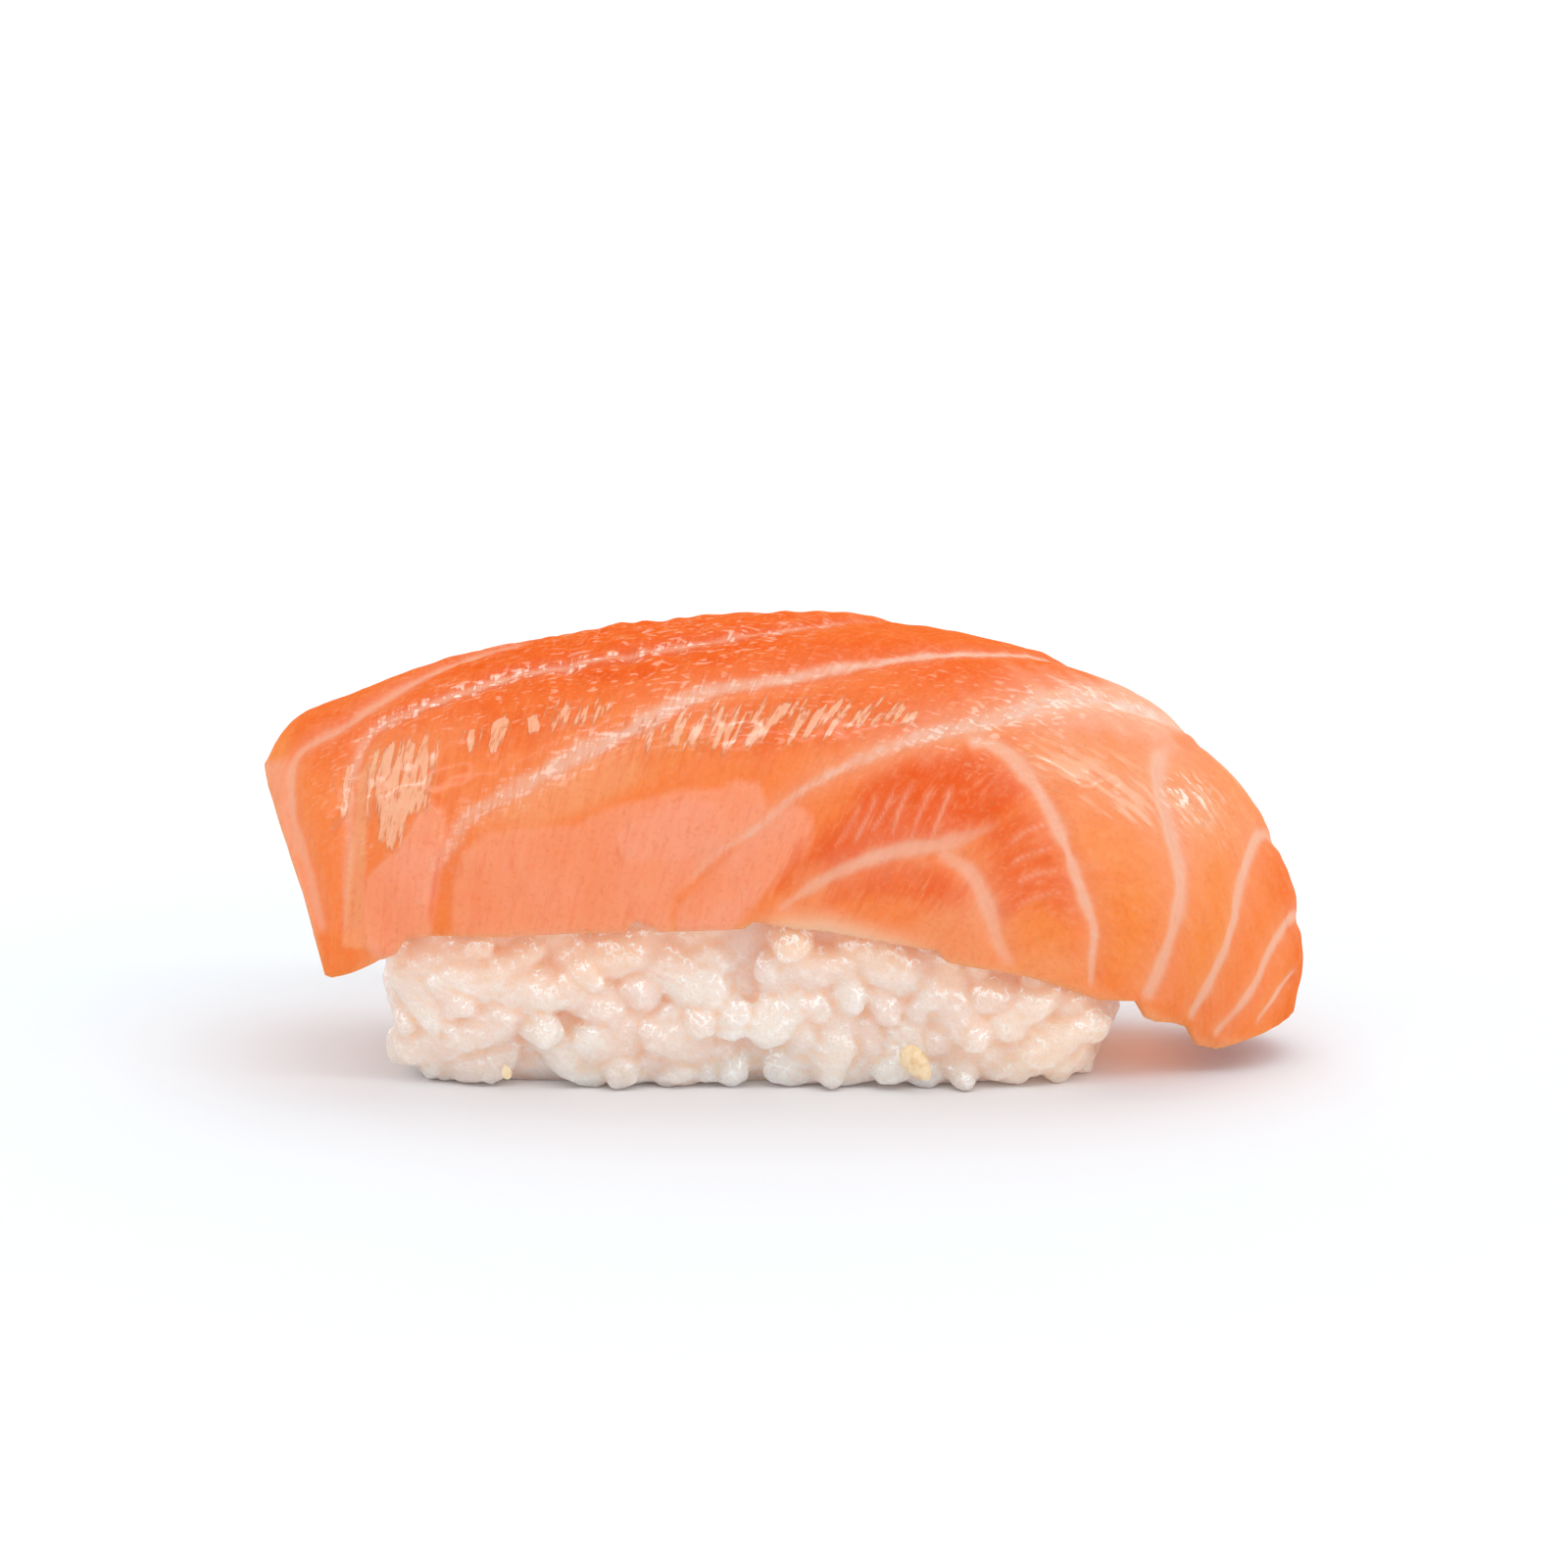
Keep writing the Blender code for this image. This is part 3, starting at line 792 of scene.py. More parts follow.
# Thin pale lines in the flesh: each one's half width in mm, paleness and route.
PALE_LINES = (
    (0.11, 0.5, ((6.9, 18.4), (8.2, 21.4), (9.2, 23.0))),
    (0.10, 0.4, ((8.2, 18.3), (9.4, 21.0), (10.3, 22.6))),
    (0.11, 0.5, ((9.6, 18.2), (10.7, 20.7), (11.6, 22.6))),
    (0.10, 0.45, ((5.5, 18.6), (6.9, 21.1), (7.5, 22.4))),
    (0.11, 0.5, ((4.4, 18.0), (5.5, 20.4), (6.5, 22.1))),
    (0.10, 0.4, ((3.1, 17.6), (4.4, 19.9), (5.5, 21.7))),
    (0.13, 0.35, ((14.7, 17.7), (16.4, 18.9), (18.4, 19.7))),
    (0.13, 0.40, ((14.8, 16.7), (16.7, 17.5), (19.1, 18.0))),
    (0.13, 0.35, ((15.3, 15.3), (17.4, 16.0), (19.8, 16.4))),
    (0.13, 0.30, ((15.7, 13.9), (17.7, 14.5), (20.0, 14.7))),
)

# Thin creases near the hem, darkened by painted shade: each one's half width in mm, darkness and route.
DARK_CREASES = (
    (0.16, 0.55, ((-24.0, 18.2), (-24.3, 16.2), (-24.8, 13.4), (-25.0, 12.4))),
    (0.11, 0.40, ((-22.3, 17.8), (-22.5, 15.3))),
    (0.10, 0.30, ((-21.2, 17.4), (-21.4, 15.6))),
    (0.11, 0.40, ((-19.0, 18.3), (-19.3, 15.6))),
    (0.11, 0.35, ((-16.6, 19.1), (-16.7, 17.2))),
    (0.12, 0.45, ((-11.8, 19.1), (-11.6, 16.6))),
    (0.10, 0.30, ((-9.0, 18.9), (-9.6, 17.2))),
)

SEAMS = (
    Seam(
        ((-32.1, 11.3), (-33.3, 16.0), (-34.7, 20.6), (-34.6, 22.8), (-31.0, 25.2), (-24.5, 28.1)),
        ((-10.0, 29.0), (2.0, 26.5), (11.0, 21.5), (15.0, 15.5), (16.0, 10.5)),
        (0.4, 0.4, 0.5, 0.5, 0.4, 0.4), (0.5, 0.6, 0.6, 0.35, 0.25, 0.5, 0.5), 0.16, 0.15, 0.0, 0.5,
    ),
    Seam(
        ((-30.9, 11.2), (-30.6, 17.8), (-30.2, 23.0), (-29.1, 25.2), (-26.3, 26.5), (-23.0, 27.6),
         (-19.5, 28.7), (-14.0, 29.7), (-7.2, 30.8), (-0.3, 31.5)),
        ((12.0, 28.5), (20.0, 22.0), (24.0, 14.0), (24.5, 8.0)),
        (0.35, 0.4, 0.45, 0.35, 0.30, 0.28, 0.25, 0.22, 0.25, 0.4, 0.45),
        (0.2, 0.5, 0.7, 0.5, 0.5, 0.5, 0.8, 0.6),
        0.30, 0.25, 0.2, 0.3, (0.0, 0.0, 0.2, 0.9, 1.0, 0.9, 0.6, 0.3, 0.1, 0.0, 0.0, 0.0, 0.0, 0.0),
    ),
    Seam(
        ((-24.7, 13.6), (-24.2, 16.4), (-23.3, 18.3), (-22.5, 19.5), (-19.6, 21.5), (-16.2, 23.3),
         (-14.0, 24.5), (-11.1, 25.9), (-6.2, 28.1), (-0.9, 29.1), (4.5, 29.8), (10.4, 30.0), (13.6, 29.8)),
        ((23.0, 25.0), (28.0, 18.0), (29.0, 10.5), (28.0, 6.0)),
        (0.4, 0.7, 0.75, 0.7, 0.55, 0.40, 0.34, 0.26, 0.22, 0.26, 0.4, 0.5),
        (0.1, 0.45, 0.8, 0.8, 0.8, 0.9, 1.0, 1.0, 0.9, 0.6, 0.6), 0.22, 0.22, 0.6, 0.2,
        (0.0, 0.3, 0.5, 0.3, 0.1, 0.1, 0.0, 0.0, 0.0, 0.0),
    ),
    Seam(
        ((-7.0, 15.4), (-5.1, 17.4), (-2.6, 19.1), (1.1, 22.2), (5.2, 24.0), (9.3, 25.4), (13.4, 26.1),
         (17.6, 26.9), (20.1, 27.0), (25.5, 25.2)),
        ((31.5, 17.5), (32.5, 11.0), (30.5, 5.0)),
        (0.3, 0.35, 0.45, 0.65, 1.15, 1.25, 0.6, 0.4, 0.4, 0.4),
        (0.2, 0.4, 0.6, 0.8, 1.0, 1.0, 0.6, 0.5, 0.5),
        0.16, 0.3, 0.75, 0.7, (0.0, 0.0, 0.1, 0.45, 0.6, 0.5, 0.1, 0.0, 0.0, 0.0),
    ),
    Seam(
        ((20.9, 6.8), (21.2, 9.7), (21.4, 12.1), (20.9, 13.9), (19.3, 18.1), (17.4, 21.8), (14.7, 24.6),
         (12.0, 25.4)),
        (), (0.30, 0.42, 0.5, 0.6, 0.8, 0.9), (0.6, 0.75, 0.8, 0.75, 0.8, 0.7), 0.16, 0.12, 0.2, 0.35,
    ),
    Seam(
        ((-0.9, 13.5), (3.1, 16.2), (7.2, 17.7), (11.3, 18.5), (15.0, 19.8)),
        (), (0.3, 0.45, 0.65, 0.65, 0.3), (0.5, 0.7, 0.8, 0.7, 0.1), 0.14, 0.10, 0.1, 0.35,
    ),
    Seam(
        ((15.8, 8.0), (15.0, 10.8), (13.9, 13.9), (12.3, 16.5), (10.0, 17.9)),
        (), (0.45, 0.6, 0.75, 0.6), (0.3, 0.6, 0.7, 0.5), 0.14, 0.10, 0.1, 0.35,
    ),
    Seam(
        ((24.9, 5.9), (26.9, 10.5), (27.6, 14.6), (26.9, 18.6), (26.2, 21.4)), ((31.0, 18.0), (31.5, 6.0)),
        (0.55, 0.75, 0.8, 0.7, 0.6, 0.5), (0.75, 0.8, 0.85, 0.9, 0.5, 0.4, 0.5), 0.14, 0.08, 0.1, 0.35,
    ),
    Seam(
        ((28.0, 3.6), (30.0, 7.5), (31.7, 11.5), (32.1, 13.5), (33.4, 16.5)), ((34.5, 11.5), (31.5, 4.5)),
        (0.5, 0.65, 0.65, 0.5), (0.85, 0.9, 0.85, 0.7, 0.5), 0.14, 0.08, 0.1, 0.3,
    ),
    Seam(
        ((29.8, 2.6), (33.1, 6.4), (34.6, 8.8), (35.9, 10.4)), ((36.2, 8.0), (33.5, 3.6)),
        (0.38, 0.5, 0.52, 0.38), (0.85, 0.9, 0.7, 0.5), 0.12, 0.08, 0.1, 0.3,
    ),
    Seam(
        ((33.0, 3.2), (35.5, 5.5), (36.8, 6.7)), (), (0.28, 0.32, 0.28), (0.8, 0.85, 0.5), 0.08, 0.08, 0.2,
    ),
    Seam(
        (), ((-36.6, 19.5), (-25.0, 24.0), (-12.0, 23.0), (-3.5, 18.5), (-0.5, 14.0)),
        (0.4, 0.5, 0.6, 0.5), (0.5, 0.8, 0.8, 0.5), 0.18, 0.2, 0.3,
    ),
    Seam(
        (), ((-34.5, 15.5), (-27.0, 18.8), (-18.5, 18.0), (-14.0, 14.4)),
        (0.4, 0.6, 0.5), (0.4, 0.7, 0.5), 0.14, 0.2, 0.3,
    ),
    *(Seam(route, (), (half,), (pale,), 0.0, 0.1, 0.0, 0.6) for half, pale, route in PALE_LINES),
    *(Seam(route, (), (half,), dark=dark) for half, dark, route in DARK_CREASES),
)

# Patches of tone in the front view. The glare, sheen and glint patches are painted highlights.
PATCHES = (
    Patch(Tone.PINK, (
        (-29.5, 13.8), (-29.2, 15.8), (-28.1, 16.9), (-27.0, 17.8), (-26.2, 19.0), (-25.5, 20.3),
        (-24.7, 21.0), (-23.8, 20.5), (-23.6, 19.0), (-24.0, 16.7), (-24.3, 14.7), (-24.6, 12.6),
        (-24.6, 10.0), (-27.4, 9.6), (-29.1, 10.6),
    ), 0.25, 0.85, 0.22),
    Patch(Tone.PINK, (
        (-23.2, 10.0), (-23.2, 15.7), (-22.6, 17.6), (-20.6, 19.1), (-17.9, 19.4), (-14.5, 19.7),
        (-12.9, 20.6), (-11.3, 21.0), (-9.7, 21.4), (-7.2, 22.0), (-4.7, 22.0), (-3.5, 22.6), (-1.9, 22.4),
        (-1.4, 20.6), (-2.4, 19.1), (-4.0, 17.9), (-5.1, 17.0), (-7.7, 14.7), (-9.0, 10.0),
    ), 0.32, 0.72, 0.20),
    Patch(Tone.PINK, (
        (-12.4, 18.4), (-11.1, 20.1), (-7.2, 21.6), (-4.3, 21.4), (-3.8, 19.8), (-4.6, 18.1), (-7.0, 17.1),
        (-11.1, 16.8),
    ), 0.5, 0.95, 0.06),
    Patch(Tone.PINK, (
        (-1.2, 20.6), (0.4, 21.0), (1.6, 20.3), (1.7, 19.1), (1.1, 17.7), (0.2, 16.8), (-1.4, 15.3),
        (-3.1, 13.2), (-5.5, 10.5), (-7.5, 11.0), (-7.7, 14.0), (-5.1, 16.6), (-3.0, 18.6),
    ), 0.45, 0.85, 0.20),
    Patch(Tone.PALE, (
        (-30.1, 22.4), (-29.2, 23.6), (-29.0, 21.9), (-29.2, 18.8), (-29.2, 15.5), (-29.3, 12.5),
        (-28.6, 11.4), (-27.6, 11.0), (-29.5, 10.8), (-30.9, 10.9), (-30.8, 13.7), (-30.6, 16.8),
        (-30.2, 19.4),
    ), 0.25, 0.85, 0.14),
    Patch(Tone.GLARE, (
        (-29.0, 24.0), (-27.6, 24.5), (-26.2, 24.8), (-24.8, 25.0), (-24.5, 23.7), (-24.7, 22.2),
        (-24.9, 20.9), (-26.0, 19.9), (-26.6, 18.3), (-27.4, 17.7), (-28.2, 18.9), (-28.9, 20.1),
        (-29.1, 21.9),
    ), 1.0, 0.95),
    Patch(Tone.GLARE, (
        (-23.0, 25.7), (-21.5, 25.9), (-20.5, 26.3), (-19.2, 26.6), (-17.1, 26.9), (-17.1, 25.3),
        (-19.4, 25.0), (-20.6, 23.7), (-21.9, 24.0),
    ), 0.6, 0.32),
    Patch(Tone.GLARE, (
        (-31.3, 22.9), (-30.2, 23.3), (-30.1, 22.3), (-30.6, 20.9), (-31.1, 19.0), (-31.7, 18.6),
        (-31.4, 20.6), (-31.6, 21.7),
    ), 0.35, 0.62),
    Patch(Tone.GLARE, (
        (-10.8, 26.2), (-7.7, 27.2), (-4.3, 27.8), (-0.3, 28.0), (4.5, 27.8), (8.6, 27.2), (10.6, 26.3),
        (8.6, 26.0), (5.2, 25.8), (3.1, 25.4), (1.1, 25.2), (-1.6, 25.2), (-5.0, 24.6), (-7.0, 24.6),
        (-9.7, 24.9),
    ), 0.9, 0.62),
    Patch(Tone.GLARE, (
        (-17.6, 26.9), (-15.6, 27.4), (-13.0, 27.8), (-12.2, 27.3), (-13.2, 26.1), (-15.2, 25.7),
        (-16.9, 25.7),
    ), 0.6, 0.58),
    Patch(Tone.SHEEN, (
        (14.7, 25.2), (18.8, 25.0), (22.3, 24.0), (25.4, 22.2), (26.4, 20.0), (25.8, 18.6), (22.9, 19.4),
        (20.6, 20.8), (17.9, 22.3),
    ), 1.3, 0.66),
    Patch(Tone.PINK, (
        (-37.5, 21.3), (-35.0, 22.7), (-34.6, 19.0), (-33.7, 16.0), (-32.6, 11.3), (-32.0, 8.0),
        (-38.0, 8.0),
    ), 0.3, 0.8),
    Patch(Tone.SHEEN, (
        (26.1, 21.4), (26.9, 21.2), (28.4, 21.3), (30.2, 20.6), (30.9, 18.7), (29.7, 17.7), (28.3, 18.2),
        (27.2, 18.9),
    ), 0.9, 0.72),
    Patch(Tone.GLINT, (
        (26.4, 21.2), (27.2, 21.6), (28.6, 21.0), (29.6, 19.8), (29.2, 18.9), (28.0, 19.4), (26.8, 20.2),
    ), 0.7, 0.8),
    # A paler band over the right shoulder: painted sheen.
    Patch(Tone.PALE, (
        (17.0, 26.9), (22.0, 26.4), (27.0, 24.4), (31.0, 21.0), (33.0, 17.5), (31.4, 16.2), (28.5, 17.0),
        (26.5, 19.0), (23.0, 20.0), (19.5, 22.0), (16.5, 24.0),
    ), 2.0, 0.62),
    Patch(Tone.DEEP, (
        (1.8, 17.1), (-0.3, 15.4), (2.1, 18.5), (3.8, 20.1), (5.2, 22.4), (7.9, 23.9), (10.6, 24.5),
        (13.3, 24.6), (15.4, 23.4), (16.7, 21.8), (14.7, 20.0), (12.6, 19.0), (9.9, 18.5), (6.5, 17.8),
        (3.1, 16.4),
    ), 1.1, 1.0),
    Patch(Tone.DEEP, (
        (5.2, 16.7), (7.9, 17.4), (10.6, 16.7), (12.3, 15.3), (13.0, 13.6), (10.6, 14.0), (7.9, 14.7),
        (5.2, 14.7), (3.1, 14.4),
    ), 0.8, 0.7),
    Patch(Tone.DEEP, (
        (14.0, 19.0), (16.0, 20.9), (17.8, 20.4), (19.1, 17.8), (20.0, 15.4), (20.2, 12.6), (18.1, 13.5),
        (15.4, 13.9), (14.1, 16.0),
    ), 1.2, 0.6),
    Patch(Tone.GOLD, (
        (19.5, 20.7), (21.5, 19.9), (25.0, 18.3), (26.3, 16.2), (26.5, 12.8), (25.4, 10.1), (23.7, 8.1),
        (22.0, 9.3), (22.3, 12.4), (21.4, 15.3), (19.8, 18.1),
    ), 2.0, 0.85),
    Patch(Tone.GLARE, ((-22.5, 25.5), (-21.7, 25.7), (-21.8, 24.9), (-22.1, 24.2)), 0.15, 0.95, 0.04),
    Patch(Tone.GLARE, (
        (-20.5, 26.1), (-19.5, 26.4), (-19.2, 26.1), (-20.0, 24.7), (-20.4, 23.9), (-20.8, 24.5),
    ), 0.15, 0.95, 0.04),
    Patch(Tone.GLARE, ((-18.2, 26.4), (-17.3, 26.7), (-17.1, 25.7), (-17.9, 25.4)), 0.15, 0.95, 0.04),
    Patch(Tone.PINK, (
        (15.5, 26.3), (19.7, 27.4), (23.3, 27.0), (27.0, 25.5), (29.0, 24.0), (26.0, 23.6), (22.4, 25.0),
        (18.9, 25.5),
    ), 0.5, 1.0, 0.08),
    Patch(Tone.STREAK, (
        (-2.0, 15.0), (2.1, 20.5), (7.9, 24.9), (15.4, 24.4), (19.8, 19.8), (20.5, 13.0), (15.4, 12.9),
        (5.2, 14.0),
    ), 1.0, 1.0),
    Patch(Tone.PINK, (
        (-32.0, 13.0), (-31.0, 16.2), (-27.0, 17.8), (-22.0, 17.6), (-18.0, 16.2), (-15.6, 13.6),
        (-20.0, 12.0),
    ), 0.35, 0.75, 0.15, True),
    Patch(Tone.PINK, (
        (-14.0, 14.0), (-13.0, 18.0), (-8.0, 20.5), (-3.5, 17.5), (-1.2, 13.5), (-6.0, 12.0),
    ), 0.35, 0.70, 0.15, True),
    Patch(Tone.GOLD, (
        (2.0, 13.0), (4.0, 19.0), (9.0, 20.0), (14.0, 15.0), (15.0, 10.5), (8.0, 11.0),
    ), 1.5, 0.9, 0.0, True),
    Patch(Tone.GLARE, (
        (-31.0, 22.3), (-28.0, 24.2), (-24.0, 25.2), (-22.0, 24.9), (-24.5, 24.2), (-27.5, 22.4),
        (-30.0, 20.6),
    ), 0.9, 0.70, 0.0, True),
    Patch(Tone.GLARE, (
        (-15.0, 25.2), (-9.0, 26.4), (-2.0, 26.0), (2.0, 24.4), (-3.0, 24.2), (-9.0, 24.6), (-14.0, 24.0),
    ), 0.9, 0.66, 0.0, True),
    Patch(Tone.SHEEN, (
        (13.0, 24.0), (19.0, 22.6), (24.5, 19.0), (26.5, 15.5), (23.5, 16.0), (18.5, 19.8), (13.0, 21.8),
    ), 1.2, 0.80, 0.0, True),
)

# Soft oval patches of tone. The glitter zones are painted glints, and the first two deep zones darken the
# crest as painted shade.
ZONES = (
    Zone(Tone.DEEP, -10.0, 30.6, 24.0, 2.2, 8.0, 0.9),
    Zone(Tone.DEEP, 14.0, 29.6, 18.0, 1.6, -14.0, 0.6),
    Zone(Tone.DEEP, -18.0, 26.5, 6.0, 2.0, 18.0, 0.5),
    Zone(Tone.DEEP, 4.0, 27.0, 16.0, 2.4, 5.0, 0.45),
    Zone(Tone.PALE, -15.0, 22.0, 7.0, 2.0, 22.0, 0.7),
    Zone(Tone.PALE, -26.0, 24.6, 4.5, 1.6, 22.0, 0.5),
    Zone(Tone.PALE, 12.0, 12.0, 4.0, 3.0, 0.0, 0.5),
    Zone(Tone.PALE, 18.0, 9.0, 3.0, 2.5, 0.0, 0.5),
    Zone(Tone.GOLD, -10.0, 24.0, 6.0, 1.5, 22.0, 0.8),
    Zone(Tone.GOLD, 29.6, 12.5, 2.4, 7.0, 0.0, 0.7),
    Zone(Tone.GOLD, 17.5, 10.5, 2.6, 4.0, 0.0, 0.6),
    Zone(Tone.STREAK, -2.0, 26.0, 16.0, 2.6, 8.0, 0.7),
    Zone(Tone.STREAK, -20.0, 24.0, 12.0, 3.0, 20.0, 0.5),
    Zone(Tone.ROUGH, -26.5, 21.5, 4.0, 4.0, 0.0, 0.5),
    Zone(Tone.ROUGH, 1.0, 26.2, 11.0, 1.8, 8.0, 0.6),
    Zone(Tone.ROUGH, 21.0, 22.5, 5.0, 1.8, -30.0, 0.5),
    Zone(Tone.GLITTER, -12.0, 29.0, 18.0, 2.4, 12.0, 0.9),
    Zone(Tone.GLITTER, 8.0, 28.6, 12.0, 1.6, -3.0, 0.7),
    Zone(Tone.GLITTER, 1.0, 26.4, 12.0, 2.0, 6.0, 0.8),
    Zone(Tone.GLITTER, -29.5, 21.5, 4.5, 5.0, 0.0, 0.7),
    Zone(Tone.GLITTER, 16.0, 24.5, 7.0, 2.4, -12.0, 0.9),
    Zone(Tone.GLITTER, 29.0, 19.0, 4.0, 3.0, -30.0, 0.7),
    Zone(Tone.WET, -26.0, 22.0, 8.0, 6.0, 20.0, 0.35),
    Zone(Tone.WET, -2.0, 26.0, 20.0, 4.0, 8.0, 0.35),
    Zone(Tone.WET, 24.0, 20.0, 10.0, 6.0, -35.0, 0.60),
    Zone(Tone.WET, 4.0, 15.0, 30.0, 9.0, 0.0, 0.20),
)


@dataclass(frozen=True)
class SalmonSlice:
    """The slice of salmon: stations in mm along its crest and its two hems, and what hangs on them."""

    name: str = "salmon"
    node: str = "salmon_slice"
    slot: str = "salmon"
    crest: tuple[Place, ...] = (
        (-37.2, 21.2), (-35.8, 23.6), (-31.2, 25.9), (-20.2, 29.2), (-8.2, 31.2), (3.8, 31.5),
        (15.0, 29.7), (25.2, 25.6), (32.4, 19.5), (36.4, 11.2), (37.2, 6.6), (36.5, 3.0),
    )
    front_hem: tuple[Place, ...] = (
        (-31.9, 8.9), (-30.6, 9.2), (-27.4, 10.6), (-19.5, 12.0), (-8.5, 12.4), (2.5, 12.4),
        (10.0, 10.4), (17.6, 8.7), (24.2, 5.8), (27.6, 3.7), (29.2, 2.4), (30.4, 1.9),
    )
    back_hem: tuple[Place, ...] = (
        (-36.7, 13.2), (-34.0, 12.4), (-29.0, 12.6), (-20.0, 13.6), (-8.5, 14.2), (2.5, 13.2),
        (10.5, 11.4), (18.0, 9.6), (24.8, 7.2), (28.8, 4.8), (30.6, 3.4), (31.8, 2.4),
    )
    front_nicks: tuple[tuple[float, float, float], ...] = (
        (-26.6, 7.0, 0.9), (-10.6, 1.8, 0.8), (-2.4, 3.0, 0.5), (10.4, -5.5, 0.7), (24.6, -2.6, 0.9),
        (28.4, -2.2, 0.8),
    )
    back_nicks: tuple[tuple[float, float, float], ...] = (
        (-31.5, 5.0, 0.8), (-16.0, -3.5, 0.7), (-3.0, 4.0, 0.8), (13.0, -5.0, 0.8), (26.0, -3.0, 0.9),
    )
    nick_steep_width: float = 0.7
    reach: float = 14.2 * MM
    end_reach: float = 13.4 * MM
    tip_reach: float = 6.6 * MM
    end_widens_by: float = 0.2
    tip_narrows: Place = (0.62, 1.04)
    shoulder_power: float = 2.45
    lean_power: float = 0.65
    crest_thickness: float = 5.0 * MM
    hem_thickness: float = 1.4 * MM
    end_share: float = 0.72
    tip_share: float = 0.52
    rows: int = 420
    columns: int = 196
    rim_rings: int = 4
    rim_swell: float = 0.3 * MM
    groove_depth: float = 0.30 * MM
    groove_half_width: float = 1.5 * MM
    seam_spacing: float = 0.15 * MM
    crease_depth: float = 0.10 * MM
    side_drift: float = 0.11
    under_share: int = 4
    seam_wander: float = 0.18
    seam_wander_length: float = 3.0 * MM
    seam_end_fade: Place = (-0.1 * MM, 1.2 * MM)
    fat_reach: float = 2.0
    fat_plateau: float = 0.7
    glow_reach: float = 3.0
    glint_reach: float = 1.5
    step_rise: float = 0.5 * MM
    step_reach: float = 3.0 * MM
    groove_end: float = 2.0
    # Painted shade: deeper red where the face turns up to the crown and out to the right end, which also
    # gets rougher texture.
    crown_slopes: Place = (0.55, 0.95)
    crown_shade: float = 0.8
    end_slopes: Place = (0.72, 0.94)
    end_tone: float = 0.6
    clear_from: Place = (-3.0, 0.5)
    clear_to: Place = (7.0, 12.0)
    clear_heights: Place = (-0.5, 2.2)
    # A paler lip along the front hem: partly the thin edge's own colour, partly painted light that lifts
    # the shade on the rim below it.
    edge_heights: Place = (0.0, 1.3)
    edge_from: Place = (-31.0, -28.0)
    edge_paleness: float = 0.7
    wave_depth: float = 0.10 * MM
    waves: Ripple = Ripple(3, 9.0 * MM)
    bumps: Ripple = Ripple(4, 2.2 * MM)
    bump_depths: Place = (0.03, 0.09)
    bumpy_slopes: Place = (0.6, 0.95)
    bumpy_middle: float = -10.0 * MM
    bumpy_half_length: float = 22 * MM
    section_steps: int = 160
    fibre_leans: tuple[Place, ...] = (
        (-34.0, 84.0), (-20.0, 76.0), (0.0, 62.0), (12.0, 52.0), (20.0, 38.0), (34.0, 30.0),
    )

    def knots(self) -> np.ndarray:
        """Where the stations lie along the crest, from 0 at the cut end to 1 at the tip."""
        lengths = walked(np.array(self.crest))
        return lengths / lengths[-1]

    def nicked(self, hem: np.ndarray, nicks: tuple[tuple[float, float, float], ...]) -> np.ndarray:
        """Cuts the nicks into a hem.

        Args:
            hem: The hem's points, x and height in metres.
            nicks: Each nick's steep side, slope and height in mm.

        Returns:
            The hem with its nicks.
        """
        x = hem[:, 0] / MM
        for place, run, height in nicks:
            away = (x - place) / run
            steep = np.clip(1.0 + away * abs(run) / self.nick_steep_width, 0.0, 1.0)
            hem[:, 1] += height * MM * np.where(away > 0.0, np.clip(1.0 - away, 0.0, 1.0), steep)
        return hem

    def reach_at(self, along: np.ndarray) -> np.ndarray:
        """How far the slice reaches to either side at places along it.

        Args:
            along: Places from 0 at the cut end to 1 at the tip.

        Returns:
            The reach at each place, in metres.
        """
        return (
            self.reach
            - (self.reach - self.end_reach) * (1.0 - smooth_step(0.0, self.end_widens_by, along))
            - (self.reach - self.tip_reach) * smooth_step(*self.tip_narrows, along)
        )

    def half_section(self, crest: np.ndarray, hem: np.ndarray, reach: float, columns: int) -> np.ndarray:
        """Points down one side of the slice, evenly spaced.

        Args:
            crest: The section's crest, x and height in metres.
            hem: Its hem, likewise.
            reach: Its signed reach along Y.
            columns: How many steps from crest to hem.

        Returns:
            The points from the crest to the hem, one a row.
        """
        turn = np.linspace(0.0, math.pi / 2, self.section_steps)
        out = np.sin(turn) ** (2 / self.shoulder_power)
        down = 1.0 - np.cos(turn) ** (2 / self.shoulder_power)
        x = crest[0] + (hem[0] - crest[0]) * down**self.lean_power
        z = crest[1] + (hem[1] - crest[1]) * down
        line = np.stack([x, reach * out, z], axis=1)
        lengths = walked(line)
        even = np.linspace(0.0, lengths[-1], columns + 1)
        return np.stack([np.interp(even, lengths, line[:, i]) for i in range(3)], axis=1)

    def top_grid(self, rows: int, columns: int) -> np.ndarray:
        """The smooth upper face as a grid of points.

        Args:
            rows: Steps from the cut end to the tip.
            columns: Steps from the back hem to the front hem.

        Returns:
            The points, as rows by columns by three.
        """
        along = np.linspace(0.0, 1.0, rows + 1)
        knots = self.knots()
        crest = through(knots, np.array(self.crest) * MM, along)
        front = self.nicked(through(knots, np.array(self.front_hem) * MM, along), self.front_nicks)
        back = self.nicked(through(knots, np.array(self.back_hem) * MM, along), self.back_nicks)
        reach = self.reach_at(along)
        half = columns // 2
        grid = np.empty((rows + 1, columns + 1, 3))
        for row in range(rows + 1):
            grid[row, half::-1] = self.half_section(crest[row], back[row], reach[row], half)
            grid[row, half:] = self.half_section(crest[row], front[row], -reach[row], half)
        return grid

    def normals(self, grid: np.ndarray) -> np.ndarray:
        """The outward normals of a grid of the upper face."""
        normals = np.cross(np.gradient(grid, axis=1), np.gradient(grid, axis=0))
        return normals / np.linalg.norm(normals, axis=2, keepdims=True)

